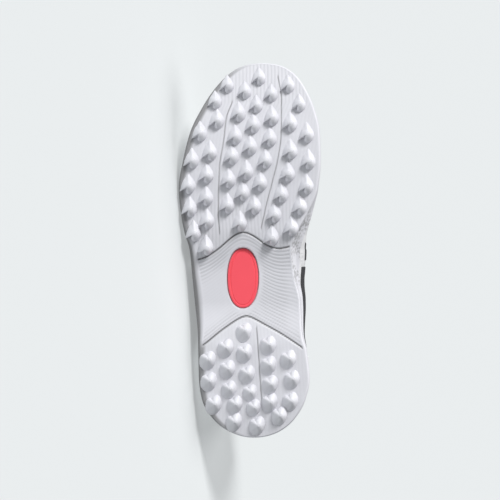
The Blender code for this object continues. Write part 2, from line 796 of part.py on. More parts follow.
def level_normal(u, side):
    """Level outward direction at a rib's foot."""
    normal = surface_normal(u, side, 0.0)
    flat = np.array((normal[0], normal[1], 0.0))
    return flat / np.linalg.norm(flat)


def tongue_row(u):
    """Section of the tongue under the throat: along both inner walls, and across the gap."""
    under = UPPER_WALL + TONGUE_GAP
    part = (u - TONGUE_BACK) / (TONGUE_FRONT - TONGUE_BACK)
    start = TONGUE_T_BACK + (TONGUE_T_FRONT - TONGUE_T_BACK) * part
    shares = np.linspace(start, 1.0, TONGUE_SIDE_STEPS + 1)
    lateral = [chord_point(u, -1, t, -under) for t in shares]
    medial = [chord_point(u, 1, t, -under) for t in shares[::-1]]
    gap = np.linalg.norm(medial[0] - lateral[-1]) / BALL_WIDTH
    top = (Rib(u, -1).at(1.0) + Rib(u, 1).at(1.0)) / 2
    crown = (lateral[-1] + medial[0]) / 2
    open_crown = top[2] - TONGUE_SINK
    crown[2] += (open_crown - crown[2]) * float(blend(*TONGUE_OPEN, gap))
    return lateral + [crown] + medial


def tongue(slot):
    """Padded tongue: under the throat's edges in front, then free above them and curving up."""
    rows = [tongue_row(u) for u in stations_between(TONGUE_BACK, TONGUE_FRONT)[::-1] + [TONGUE_BACK]]
    last = rows[-1]
    crown = last[TONGUE_SIDE_STEPS + 1]
    table = table_columns(TONGUE_COLUMNS, TONGUE_TOP)
    for back, up, width, arch in zip(*(table[name] for name in TONGUE_COLUMNS)):
        centre = crown + np.array((-back, 0.0, up)) * TONGUE_RISE
        rows.append([centre + (point - crown) * np.array((arch, width, arch)) for point in last])
    vertices = [point for row in rows for point in row]
    size = len(last)
    faces = []
    for i in range(len(rows) - 1):
        for k in range(size - 1):
            a = i * size + k
            faces.append((a, a + 1, a + size + 1, a + size))
    return skin_object("tongue", vertices, faces, TONGUE_THICKNESS, -1.0, slot)


def edge_over(u, side, height):
    """Point over the throat's edge, and the direction half way between the surface's and straight up."""
    way = surface_normal(u, side, 1.0) + np.array((0.0, 0.0, 1.0))
    way = way / np.linalg.norm(way)
    return Rib(u, side).at(1.0) + way * height, way


def lace_bar(name, start, end, over):
    """One flat bar of the lace, from an eyelet on one side over the throat to one on the other."""
    height = over + OVERLAY_GAP + EYESTAY_THICKNESS + LACE_GAP + 0.5 * LACE_THICKNESS
    points = []
    normals = []
    for (u, side), other in ((start, end), (end, start)):
        near = u + (other[0] - u) * LACE_LEAN
        pair = [(lifted(u, side, EYELET_T - LACE_END_T, height), surface_normal(u, side, EYELET_T)),
                (lifted(u, side, EYELET_T + LACE_END_T, height), surface_normal(u, side, EYELET_T)),
                edge_over(near, side, height * LACE_EDGE_LIFT)]
        if points:
            pair.reverse()
        points += [p for p, _ in pair]
        normals += [n for _, n in pair]
    middle = (points[2] + points[3]) / 2
    bow = LACE_BOW * np.linalg.norm(points[3] - points[2])
    middle = middle + np.array((0.0, 0.0, bow))
    points.insert(3, middle)
    normals.insert(3, normals[2] + normals[3])
    vertices = []
    for i, (point, normal) in enumerate(zip(points, normals)):
        along = points[min(i + 1, len(points) - 1)] - points[max(i - 1, 0)]
        along = along / np.linalg.norm(along)
        across = np.cross(normal, along)
        across = across / np.linalg.norm(across)
        up = np.cross(along, across)
        side = across * 0.5 * LACE_WIDTH
        lift = up * 0.5 * LACE_THICKNESS
        vertices += [point - side - lift, point + side - lift, point + side + lift, point - side + lift]
    faces = [(0, 1, 2, 3), tuple(len(vertices) - 4 + k for k in range(4))]
    for i in range(len(points) - 1):
        for k in range(4):
            j = (k + 1) % 4
            faces.append((4 * i + k, 4 * i + j, 4 * i + 4 + j, 4 * i + 4 + k))
    return new_object(name, vertices, faces)


def lace(slot):
    """The crossings of the lace, joined into one piece."""
    eyelets = stations_between(*EYELETS_BETWEEN)
    front = eyelets[-1]
    whole = lace_bar("lace", (front, -1), (front, 1), 0.0)
    whole.data.materials.append(slot)
    pairs = list(zip(eyelets[:-1], eyelets[1:]))
    for i, (near, far) in enumerate(pairs[::-1]):
        for side, name in ((-1, "lateral"), (1, "medial")):
            bar = lace_bar(f"lace_{name}_{i}", (near, side), (far, -side), -side * LACE_WEAVE)
            boolean(whole, bar, "UNION")
    return whole


def eyelet_cutters():
    """Round bars through every eyelet, as one guide object."""
    vertices = []
    faces = []
    for u in stations_between(*EYELETS_BETWEEN):
        for side in (-1, 1):
            centre = Vector(Rib(u, side).at(EYELET_T))
            normal = Vector(surface_normal(u, side, EYELET_T))
            across = normal.orthogonal().normalized()
            other = normal.cross(across)
            start = len(vertices)
            for reach in (-EYELET_REACH, EYELET_REACH):
                for i in range(EYELET_SIDES):
                    angle = 2 * math.pi * i / EYELET_SIDES
                    ring = across * math.cos(angle) + other * math.sin(angle)
                    vertices.append(centre + normal * reach + ring * EYELET_RADIUS)
            low = list(range(start, start + EYELET_SIDES))
            high = [i + EYELET_SIDES for i in low]
            faces += [tuple(low), tuple(high)]
            for i in range(EYELET_SIDES):
                j = (i + 1) % EYELET_SIDES
                faces.append((low[i], low[j], high[j], high[i]))
    return new_object("eyelet_bars", vertices, faces)


def rest_turn(pieces):
    """Turn that lays the shoe on its lateral side, on the face of its hull where its centre is lowest."""
    deps = bpy.context.evaluated_depsgraph_get()
    points = []
    mass = 0.0
    moment = np.zeros(3)
    for item, density in pieces:
        mesh = item.evaluated_get(deps).to_mesh()
        mesh.calc_loop_triangles()
        corners = np.array([v.co for v in mesh.vertices])
        triangles = np.array([t.vertices for t in mesh.loop_triangles])
        a, b, c = (corners[triangles[:, k]] for k in range(3))
        six = np.einsum("ij,ij->i", a, np.cross(b, c))
        mass += density * six.sum() / 6
        moment += density * ((a + b + c) / 4 * six[:, None] / 6).sum(0)
        points.append(corners)
    centre = moment / mass
    work = bmesh.new()
    for corners in points:
        for corner in corners:
            work.verts.new(corner)
    bmesh.ops.convex_hull(work, input=work.verts)
    best = None
    for face in work.faces:
        normal = np.array(face.normal)
        reach = np.dot(np.array(face.verts[0].co) - centre, normal)
        if reach < 0:
            normal, reach = -normal, -reach
        if normal[1] < LATERAL_LEAST and (best is None or reach < best[0]):
            best = (reach, normal)
    everything = np.concatenate(points)
    work.free()
    up = -best[1]
    toe = np.array((1.0, 0.0, 0.0))
    back = -(toe - up * np.dot(toe, up))
    back /= np.linalg.norm(back)
    turn = np.array((back, np.cross(up, back), up))
    placed = everything @ turn.T
    low = placed.min(0)
    high = placed.max(0)
    shift = -np.array(((low[0] + high[0]) / 2, (low[1] + high[1]) / 2, low[2]))
    matrix = Matrix.Identity(4)
    for i in range(3):
        for k in range(3):
            matrix[i][k] = float(turn[i][k])
        matrix[i][3] = float(shift[i])
    return matrix


def main():
    for item in list(bpy.data.objects):
        bpy.data.objects.remove(item, do_unlink=True)
    rubber = material("white_rubber", (0.74, 0.74, 0.80), 0.42)
    coral = material("coral_inlay", (0.90, 0.09, 0.11), 0.38)
    knit = material("white_upper", (0.80, 0.80, 0.80), 0.55)
    film = material("white_overlay", (0.82, 0.82, 0.83), 0.45)
    dark = material("charcoal_lining", (0.05, 0.05, 0.055), 0.80)
    cord = material("white_lace", (0.85, 0.85, 0.84), 0.75)
    outsole = outsole_shell(rubber)
    boolean(outsole, lugs(), "UNION")
    boolean(outsole, groove_bars(), "DIFFERENCE")
    pocket = inlay_prism("inlay_pocket", CLEARANCE, INLAY_THICKNESS + CLEARANCE, POCKET_REACH)
    boolean(outsole, pocket, "DIFFERENCE")
    inlay = inlay_prism("sole_inlay", 0.0, INLAY_THICKNESS, INLAY_PROUD, coral)
    shell = upper_shell(knit)
    band = eyestay(film)
    holes = eyelet_cutters()
    boolean(shell, holes, "DIFFERENCE")
    boolean(band, holes, "DIFFERENCE")
    pieces = (
        (outsole, DENSITIES["rubber"]),
        (inlay, DENSITIES["rubber"]),
        (shell, DENSITIES["shell"]),
        (band, DENSITIES["shell"]),
        (heel_counter(film), DENSITIES["shell"]),
        (insole(dark), DENSITIES["foam"]),
        (tongue(knit), DENSITIES["foam"]),
        (lace(cord), DENSITIES["cord"]),
    )
    whole = bpy.data.objects.new("shoe", None)
    bpy.context.scene.collection.objects.link(whole)
    bpy.context.view_layer.update()
    whole.matrix_world = rest_turn(pieces)
    for item in bpy.data.objects:
        if item is not whole:
            item.parent = whole


main()
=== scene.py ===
"""Looks of a right turf shoe that lies on its lateral side with its studded sole showing."""

import json
import logging
import math
from dataclasses import dataclass, field
from enum import Enum
from typing import Any, Callable, Dict, List, Optional, Sequence, Tuple

import bmesh
import bpy
import numpy as np
from mathutils import Matrix, Vector


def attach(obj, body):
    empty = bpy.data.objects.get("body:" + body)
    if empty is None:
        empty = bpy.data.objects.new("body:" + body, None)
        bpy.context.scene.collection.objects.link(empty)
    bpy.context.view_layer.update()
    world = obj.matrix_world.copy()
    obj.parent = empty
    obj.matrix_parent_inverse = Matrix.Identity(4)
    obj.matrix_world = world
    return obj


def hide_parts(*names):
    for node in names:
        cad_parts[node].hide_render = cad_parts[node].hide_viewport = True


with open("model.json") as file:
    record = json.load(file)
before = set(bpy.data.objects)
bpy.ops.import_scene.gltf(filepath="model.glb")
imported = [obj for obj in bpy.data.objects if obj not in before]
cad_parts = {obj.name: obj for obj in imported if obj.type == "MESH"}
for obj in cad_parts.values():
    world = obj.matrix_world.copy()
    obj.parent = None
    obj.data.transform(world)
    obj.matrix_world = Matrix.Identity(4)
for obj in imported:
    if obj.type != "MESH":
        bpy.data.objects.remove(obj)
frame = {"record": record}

log = logging.getLogger("turf_shoe")

BODY = "root"
MOUNT = "midfoot_face"
MERGE = 0.00001
ANGLE_STEP = 0.010
SHARE_STEP = 0.008
SHARP_ANGLE = 42.0
FLOAT = "NodeSocketFloat"

Array = np.ndarray
Piece = bpy.types.Object
Material = bpy.types.Material
Tree = bpy.types.NodeTree
Socket = bpy.types.NodeSocket
Pair = Tuple[float, float]
Colour = Tuple[float, float, float]
Line = Tuple[Pair, ...]


class Side(Enum):
    """The two long sides of the shoe."""

    LATERAL = -1
    MEDIAL = 1


# Sole edge from below: u is the share of the length from the heel, the rest are shares of the ball width
PLAN_COLUMNS = ("u", "lateral", "medial", "inset_lateral", "inset_medial")
PLAN = (
    (0.000, 0.028, 0.028, 0.010, 0.010),
    (0.012, -0.121, 0.185, 0.012, 0.012),
    (0.049, -0.259, 0.313, 0.014, 0.014),
    (0.103, -0.341, 0.394, 0.016, 0.016),
    (0.156, -0.362, 0.423, 0.018, 0.018),
    (0.231, -0.367, 0.402, 0.022, 0.020),
    (0.276, -0.370, 0.372, 0.040, 0.018),
    (0.369, -0.394, 0.356, 0.060, 0.015),
    (0.430, -0.410, 0.318, 0.052, 0.015),
    (0.503, -0.430, 0.300, 0.040, 0.015),
    (0.543, -0.462, 0.335, 0.022, 0.016),
    (0.583, -0.483, 0.394, 0.018, 0.016),
    (0.663, -0.504, 0.479, 0.016, 0.016),
    (0.743, -0.471, 0.501, 0.016, 0.016),
    (0.817, -0.420, 0.494, 0.016, 0.016),
    (0.876, -0.344, 0.458, 0.015, 0.015),
    (0.924, -0.263, 0.405, 0.014, 0.014),
    (0.967, -0.160, 0.327, 0.012, 0.012),
    (0.993, -0.043, 0.220, 0.010, 0.010),
    (1.000, 0.092, 0.092, 0.010, 0.010),
)

# Ribs of the upper: where each ends at the top, its height as shares of the three named heights, how far its
# top bends over and how far its first handle stands out on each side
RIB_COLUMNS = (
    "u", "top_u", "heel", "instep", "toe", "lateral", "medial", "crown", "belly_lateral", "belly_medial",
)
RIBS = (
    (0.00, 0.020, 1.00, 0.00, 0.00, 0.028, 0.028, 0.00, 0.055, 0.055),
    (0.03, 0.032, 0.99, 0.00, 0.00, -0.120, 0.165, 0.00, 0.050, 0.050),
    (0.09, 0.085, 0.92, 0.00, 0.00, -0.225, 0.255, 0.05, 0.040, 0.040),
    (0.17, 0.165, 0.82, 0.00, 0.00, -0.270, 0.290, 0.08, 0.040, 0.050),
    (0.26, 0.255, 0.77, 0.00, 0.00, -0.285, 0.300, 0.10, 0.040, 0.100),
    (0.33, 0.325, 0.42, 0.40, 0.00, -0.270, 0.290, 0.15, 0.030, 0.148),
    (0.385, 0.375, 0.00, 0.93, 0.00, -0.215, 0.240, 0.25, 0.020, 0.190),
    (0.42, 0.405, 0.00, 0.98, 0.00, -0.160, 0.190, 0.35, 0.020, 0.250),
    (0.50, 0.485, 0.00, 0.88, 0.00, -0.140, 0.170, 0.45, 0.020, 0.325),
    (0.58, 0.565, 0.00, 0.76, 0.00, -0.130, 0.155, 0.55, 0.030, 0.205),
    (0.64, 0.625, 0.00, 0.68, 0.00, -0.120, 0.145, 0.75, 0.030, 0.080),
    (0.69, 0.672, 0.00, 0.628, 0.00, -0.110, 0.135, 1.00, 0.030, 0.040),
    (0.75, 0.725, 0.00, 0.00, 1.06, -0.100, 0.130, 1.00, 0.030, 0.030),
    (0.84, 0.805, 0.00, 0.00, 0.99, -0.080, 0.120, 1.00, 0.030, 0.030),
    (0.92, 0.865, 0.00, 0.00, 0.95, 0.000, 0.100, 1.00, 0.035, 0.035),
    (1.00, 0.915, 0.00, 0.00, 0.90, 0.080, 0.080, 1.00, 0.040, 0.040),
)
SPINE_COLUMNS = ("u", "y")
SPINE = ((0.600, 0.012), (0.700, 0.014), (0.820, 0.034), (0.920, 0.062), (1.000, 0.080))

# Studs under the sole, by row: shares of the length and of the ball width
FOREFOOT_STUDS = (
    (0.943, -0.163), (0.900, -0.249), (0.815, -0.355), (0.743, -0.412), (0.676, -0.437),
    (0.615, -0.426), (0.551, -0.398),
    (0.849, -0.234), (0.764, -0.284), (0.704, -0.309), (0.644, -0.312), (0.583, -0.305), (0.513, -0.312),
    (0.927, -0.039), (0.868, -0.082), (0.807, -0.107), (0.753, -0.131), (0.691, -0.153), (0.624, -0.160),
    (0.964, 0.064), (0.889, 0.043), (0.837, 0.021), (0.779, 0.000), (0.713, -0.028), (0.657, -0.053),
    (0.577, -0.071),
    (0.919, 0.149), (0.857, 0.153), (0.801, 0.138), (0.743, 0.107), (0.683, 0.071), (0.621, 0.028),
    (0.943, 0.270), (0.841, 0.284), (0.768, 0.284), (0.708, 0.266), (0.653, 0.220), (0.600, 0.170),
    (0.539, 0.153),
    (0.892, 0.348), (0.812, 0.401), (0.741, 0.412), (0.675, 0.398), (0.620, 0.352), (0.564, 0.291),
)
HEEL_STUDS = (
    (0.204, -0.298), (0.148, -0.291), (0.087, -0.256), (0.041, -0.114),
    (0.236, -0.174), (0.180, -0.160), (0.127, -0.149), (0.087, -0.107),
    (0.279, -0.043), (0.223, -0.039), (0.167, -0.021), (0.119, 0.000), (0.079, 0.025), (0.031, 0.050),
    (0.244, 0.128), (0.191, 0.131), (0.140, 0.142), (0.092, 0.138), (0.057, 0.206),
    (0.207, 0.270), (0.153, 0.295), (0.095, 0.284),
)

# Flex grooves: the two edges of the midfoot, from side to side, and the lengthwise lines, from toe to heel
GROOVE_FRONT = (
    (0.470, -0.420), (0.478, -0.330), (0.505, -0.213), (0.529, -0.142), (0.546, -0.071),
    (0.547, -0.050), (0.534, 0.036), (0.515, 0.107), (0.503, 0.200), (0.511, 0.310),
)
GROOVE_BACK = (
    (0.232, -0.395), (0.250, -0.320), (0.283, -0.213), (0.302, -0.142), (0.3128, -0.100),
    (0.3245, -0.025), (0.3128, 0.050), (0.301, 0.107), (0.279, 0.213), (0.262, 0.284), (0.232, 0.400),
)
GROOVE_LEFT = (
    (0.892, -0.128), (0.852, -0.167), (0.788, -0.188), (0.716, -0.217), (0.604, -0.225), (0.545, -0.216),
)
GROOVE_RIGHT = (
    (0.960, 0.199), (0.903, 0.222), (0.809, 0.220), (0.743, 0.197), (0.684, 0.160), (0.628, 0.121),
    (0.560, 0.080),
)
GROOVE_HEEL = ((0.290, 0.046), (0.223, 0.060), (0.156, 0.071), (0.090, 0.085))

# Outline of a stud in shares of half its length and width, from its point round its left side
STUD_OUTLINE = (
    (1.05, 0.00), (0.55, 0.40), (0.10, 0.74), (-0.45, 0.94), (-1.05, 1.00), (-0.82, 0.62), (-0.50, 0.22),
    (-1.10, -0.18), (-0.85, -0.66), (-0.35, -0.94), (0.20, -0.78), (0.65, -0.40),
)
HEEL_OUTLINE = (
    (0.92, 0.02), (0.70, 0.48), (0.22, 0.90), (-0.42, 1.02), (-1.02, 0.60), (-0.96, 0.08), (-0.26, -0.12),
    (-0.80, -0.46), (-0.58, -0.88), (-0.05, -1.02), (0.50, -0.92), (0.88, -0.48),
)
# How each flank rises, by its angle in degrees: below 1 it is steep at the foot, above 1 it is a ramp
STUD_POWERS = (
    (0.0, 1.25), (50.0, 1.05), (95.0, 0.62), (140.0, 0.42), (190.0, 0.42), (230.0, 0.50), (275.0, 0.85),
    (320.0, 1.10), (360.0, 1.25),
)
HEEL_POWERS = (
    (0.0, 0.80), (35.0, 0.52), (90.0, 0.50), (150.0, 0.50), (195.0, 0.36), (245.0, 0.36), (285.0, 0.75),
    (325.0, 1.10), (360.0, 0.80),
)

Eyelet = Tuple[float, Side]

# Eyelets of each side, from the collar to the toe, and their share of the way up a rib
EYELET_SHARES = (0.451, 0.500, 0.549, 0.5975, 0.645)
EYELET_T = 0.905


def table_columns(names: Sequence[str], rows: Sequence[Sequence[float]]) -> Dict[str, Array]:
    """Turn a table's rows into one array per named column.

    Args:
        names: The columns' names.
        rows: The table's rows.

    Returns:
        An array for each name.
    """
    return dict(zip(names, np.array(rows).T))


def angle_of(u: Array) -> Array:
    """Angle that spaces shares of the length closely at both ends."""
    return np.arccos(1.0 - 2.0 * np.clip(u, 0.0, 1.0))


def smooth(keys: Sequence[float], values: Sequence[float], at: Array) -> Array:
    """Cubic curve through a table's points, without overshoot.

    Args:
        keys: Rising keys of the points.
        values: Their values.
        at: Where the curve is read.

    Returns:
        The curve's values there.
    """
    keys = np.asarray(keys, float)
    values = np.asarray(values, float)
    step = np.diff(keys)
    slope = np.diff(values) / step
    tangent = np.zeros(len(keys))
    same = slope[:-1] * slope[1:] > 0
    before = 2 * step[1:] + step[:-1]
    after = step[1:] + 2 * step[:-1]
    with np.errstate(divide="ignore", invalid="ignore"):
        mean = (before + after) / (before / slope[:-1] + after / slope[1:])
    tangent[1:-1] = np.where(same, mean, 0.0)
    tangent[0] = slope[0]
    tangent[-1] = slope[-1]
    at = np.clip(at, keys[0], keys[-1])
    i = np.clip(np.searchsorted(keys, at, side="right") - 1, 0, len(step) - 1)
    t = (at - keys[i]) / step[i]
    low = (1 + 2 * t) * (1 - t) ** 2 * values[i] + t * (1 - t) ** 2 * step[i] * tangent[i]
    high = t * t * (3 - 2 * t) * values[i + 1] + t * t * (t - 1) * step[i] * tangent[i + 1]
    return low + high


def blend(start: float, end: float, at: Array) -> Array:
    """Soft step from 0 at start to 1 at end."""
    t = np.clip((np.asarray(at) - start) / (end - start), 0.0, 1.0)
    return t * t * (3 - 2 * t)


def unit(vectors: Array) -> Array:
    """Vectors of length 1 along the last axis."""
    return vectors / np.maximum(np.linalg.norm(vectors, axis=-1, keepdims=True), 1e-12)


@dataclass(frozen=True)
class ShoeForm:
    """Shape of the shoe in its own frame: heel at x = 0, toe at +x, medial side at +y, stud tips at z = 0.

    A place on the upper is an angle phi round the sole's edge, from the heel tip over the medial side to the
    toe tip and back over the lateral side, and a share t of the way up a rib.
    """

    length: float = 0.285
    ball_width: float = 0.107
    instep_height: float = 0.098
    heel_height: float = 0.090
    toe_height: float = 0.055
    stud_height: float = 0.0063
    plate_toe: float = 0.0045
    plate_heel: float = 0.0085
    toe_spring: float = 0.0135
    arch_rise: float = 0.0045
    heel_round: float = 0.0022
    rim_wall: float = 0.0022
    rim_toe: float = 0.0160
    rim_side: float = 0.0110
    clearance: float = 0.0003
    handle: float = 0.36
    crown_handle: float = 0.52
    spring_from: float = 0.70
    spring_power: float = 1.8
    arch_back: Pair = (0.24, 0.36)
    arch_front: Pair = (0.44, 0.56)
    heel_round_to: float = 0.10
    heel_round_power: float = 1.6
    plate_thins: Pair = (0.20, 0.62)
    rim_toe_rises: Pair = (0.80, 1.00)
    rim_heel_falls: Pair = (0.00, 0.16)
    rim_heel_share: float = 0.8
    throat_round: Pair = (0.615, 0.690)
    plan: Dict[str, Array] = field(default_factory=lambda: table_columns(PLAN_COLUMNS, PLAN))
    rib: Dict[str, Array] = field(default_factory=lambda: table_columns(RIB_COLUMNS, RIBS))
    spine: Dict[str, Array] = field(default_factory=lambda: table_columns(SPINE_COLUMNS, SPINE))

    def share(self, phi: Array) -> Array:
        """Share of the length from the heel."""
        return (1 - np.cos(phi)) / 2

    def phi(self, u: Array, side: Side) -> Array:
        """Angle round the edge of a share of the length on one side."""
        angle = angle_of(u)
        return angle if side is Side.MEDIAL else 2 * math.pi - angle

    def loop(self, half: int, ease: float = 0.4) -> Array:
        """Angles of a whole turn, closest together at heel and toe, with the first one repeated at the end.

        Args:
            half: How many steps each side has.
            ease: How much finer the steps are at the tips.

        Returns:
            The angles, 2 * half + 1 of them.
        """
        s = np.linspace(0.0, 1.0, half + 1)
        medial = math.pi * (s + ease * np.sin(2 * math.pi * s) / (2 * math.pi))
        return np.concatenate((medial, 2 * math.pi - medial[-2::-1]))

    def plan_value(self, column: str, phi: Array) -> Array:
        """A column of the sole's plan that has two sides, in metres.

        Args:
            column: The column's name without its side.
            phi: Angles round the edge.

        Returns:
            Its values there.
        """
        angle = angle_of(self.share(phi))
        keys = angle_of(self.plan["u"])
        prefix = "inset_" if column == "inset" else ""
        medial = smooth(keys, self.plan[prefix + "medial"], angle)
        lateral = smooth(keys, self.plan[prefix + "lateral"], angle)
        return self.ball_width * np.where(np.sin(phi) >= 0, medial, lateral)

    def rib_value(self, column: str, phi: Array) -> Array:
        """A column of the rib table at an angle."""
        return smooth(angle_of(self.rib["u"]), self.rib[column], angle_of(self.share(phi)))

    def two_sided(self, prefix: str, phi: Array) -> Array:
        """A pair of columns of the rib table, each on its side."""
        medial = self.rib_value(prefix + "medial", phi)
        return np.where(np.sin(phi) >= 0, medial, self.rib_value(prefix + "lateral", phi))

    def throat_width(self, u: Array) -> Array:
        """Share of its full width that the throat has: 1 behind its round front end, 0 past it."""
        start, end = self.throat_round
        return np.sqrt(1.0 - np.clip((u - start) / (end - start), 0.0, 1.0) ** 2)

    def plate_bottom(self, u: Array) -> Array:
        """Height of the sole's underside above the ground.

        Args:
            u: Shares of the length.

        Returns:
            The heights there.
        """
        spring = np.clip((u - self.spring_from) / (1 - self.spring_from), 0.0, 1.0) ** self.spring_power
        arch = blend(*self.arch_back, u) * (1 - blend(*self.arch_front, u))
        heel = np.clip(1 - u / self.heel_round_to, 0.0, 1.0) ** self.heel_round_power
        return self.stud_height + self.toe_spring * spring + self.arch_rise * arch + self.heel_round * heel

    def floor_top(self, u: Array) -> Array:
        """Height of the cup's inner floor."""
        thin = (self.plate_toe - self.plate_heel) * blend(*self.plate_thins, u)
        return self.plate_bottom(u) + self.plate_heel + thin

    def rim_top(self, u: Array) -> Array:
        """Height of the cup's rim.

        Args:
            u: Shares of the length.

        Returns:
            The heights there.
        """
        heel = self.rim_heel_share * (1 - blend(*self.rim_heel_falls, u))
        ends = np.maximum(blend(*self.rim_toe_rises, u), heel)
        return self.plate_bottom(u) + self.rim_side + (self.rim_toe - self.rim_side) * ends

    def edge(self, phi: Array) -> Array:
        """Outer edge of the sole in plan."""
        return np.stack((self.length * self.share(phi), self.plan_value("edge", phi)), -1)

    def edge_normal(self, phi: Array) -> Array:
        """Outward direction of the sole's edge in plan."""
        along = self.edge(phi + ANGLE_STEP) - self.edge(phi - ANGLE_STEP)
        return unit(np.stack((-along[..., 1], along[..., 0]), -1))

    def ribs(self, phi: Array) -> Array:
        """Four control points of each rib.

        Args:
            phi: Angles, one for each rib.

        Returns:
            An array of ribs by 4 points by 3 coordinates.
        """
        u = self.share(phi)
        normal = self.edge_normal(phi)
        base = self.edge(phi) - normal * (self.rim_wall + self.clearance)
        crown = self.rib_value("crown", phi)[:, None]
        top_z = (
            self.rib_value("heel", phi) * self.heel_height
            + self.rib_value("instep", phi) * self.instep_height
            + self.rib_value("toe", phi) * self.toe_height
        )
        low = self.floor_top(u) + self.clearance
        spine = self.ball_width * smooth(self.spine["u"], self.spine["y"], u)
        side = self.ball_width * self.two_sided("", phi)
        top_y = spine + (side - spine) * self.throat_width(u)
        top = np.stack((self.length * self.rib_value("top_u", phi), top_y), -1)
        first = base + normal * (self.two_sided("belly_", phi) * self.ball_width)[:, None]
        second = top + (base - top) * crown * self.crown_handle
        reach = self.handle * (top_z - low)
        heights = np.stack((low, low + reach, top_z - (1 - crown[:, 0]) * reach, top_z), -1)
        return np.concatenate((np.stack((base, first, second, top), 1), heights[..., None]), -1)

    def surface(self, phi: Array, t: Array) -> Array:
        """Points of the upper's outer surface.

        Args:
            phi: Angles, n of them.
            t: Shares up each rib, n by m.

        Returns:
            An array of n by m by 3.
        """
        a, b, c, d = (self.ribs(phi)[:, k, None, :] for k in range(4))
        t = np.asarray(t)[..., None]
        s = 1 - t
        return a * s ** 3 + 3 * b * s * s * t + 3 * c * s * t * t + d * t ** 3

    def side_normals(self, phi: Array, t: Array) -> Array:
        """Outward directions of one side's surface.

        Args:
            phi: Angles round the edge.
            t: Shares up each rib.

        Returns:
            A direction for each place.
        """
        along = self.surface(phi + ANGLE_STEP, t) - self.surface(phi - ANGLE_STEP, t)
        above, below = np.minimum(t + SHARE_STEP, 1.0), np.maximum(t - SHARE_STEP, 0.0)
        return unit(np.cross(self.surface(phi, above) - self.surface(phi, below), along))

    def normals(self, phi: Array, t: Array) -> Array:
        """Outward directions of the surface, the same from both sides where they meet on the spine.

        Args:
            phi: Angles, n of them.
            t: Shares up each rib, n by m.

        Returns:
            An array of n by m by 3.
        """
        own = self.side_normals(phi, t)
        other = self.side_normals(2 * math.pi - phi, t)
        met = (np.asarray(t) >= 1.0) & (self.throat_width(self.share(phi)) <= 0.0)[:, None]
        return unit(own + other * met[..., None])

    def lifted(self, phi: Array, t: Array, height: Array) -> Array:
        """Points that stand off the outer surface."""
        height = np.broadcast_to(height, np.shape(t))
        return self.surface(phi, t) + self.normals(phi, t) * height[..., None]

    def level_lift(self, phi: Array, t: Array, height: float) -> Array:
        """Points at the same level that stand off the outer surface, one for each angle."""
        flat = self.normals(phi, t[:, None])[:, 0] * (1.0, 1.0, 0.0)
        return self.surface(phi, t[:, None])[:, 0] + flat * height / np.sum(flat ** 2, -1, keepdims=True)

    def share_at(self, phi: Array, z: Array) -> Array:
        """Share t at which each rib reaches a height.

        Args:
            phi: Angles round the edge.
            z: A height for each angle.

        Returns:
            A share for each angle.
        """
        low = np.zeros(len(phi))
        high = np.ones(len(phi))
        for _ in range(26):
            middle = (low + high) / 2
            under = self.surface(phi, middle[:, None])[:, 0, 2] < z
            low = np.where(under, middle, low)
            high = np.where(under, high, middle)
        return (low + high) / 2


@dataclass(frozen=True)
class RestPose:
    """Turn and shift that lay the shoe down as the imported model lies."""

    matrix: Matrix

    @classmethod
    def from_frame(
        cls, form: ShoeForm, record: Dict[str, Any], place: Pair, proud: float
    ) -> "RestPose":
        """Work the pose out from the flat face that the record names under the midfoot.

        Args:
            form: The shoe's shape.
            record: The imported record.
            place: Shares of the length and of the ball width at the face's middle.
            proud: How far the face stands out of the plate.

        Returns:
            The pose.
        """
        mount = next(m for m in record["mounts"] if m["name"] == MOUNT)
        sole = Vector(mount["axis"]).normalized()
        ratio = sole.x / sole.z
        rise = ratio / math.sqrt(1 + ratio * ratio)
        toe = Vector((-math.sqrt(1 - rise * rise), 0.0, rise))
        up = -sole
        turn = Matrix((toe, up.cross(toe), up)).transposed()
        u, v = place
        face = Vector((form.length * u, form.ball_width * v, float(form.plate_bottom(u)) - proud))
        return cls(Matrix.Translation(Vector(mount["pos_m"]) - turn @ face) @ turn.to_4x4())

    def turn(self) -> Matrix:
        """The pose's rotation alone."""
        return self.matrix.to_3x3()


def grid_faces(columns: int, rows: int, keep: Optional[Array] = None) -> Array:
    """Quads of a grid whose points are stored column by column.

    Args:
        columns: Number of columns.
        rows: Points in each column.
        keep: Which quads to make, columns - 1 by rows - 1, or all of them.

    Returns:
        An array of quads.
    """
    i, k = np.meshgrid(np.arange(columns - 1), np.arange(rows - 1), indexing="ij")
    a = i * rows + k
    quads = np.stack((a, a + 1, a + rows + 1, a + rows), -1)
    return quads[keep] if keep is not None else quads.reshape(-1, 4)


def placed(name: str, data: Any) -> Piece:
    """Add an object to the scene.

    Args:
        name: The object's name.
        data: Its mesh, lamp or camera.

    Returns:
        The object.
    """
    item = bpy.data.objects.new(name, data)
    bpy.context.scene.collection.objects.link(item)
    return item


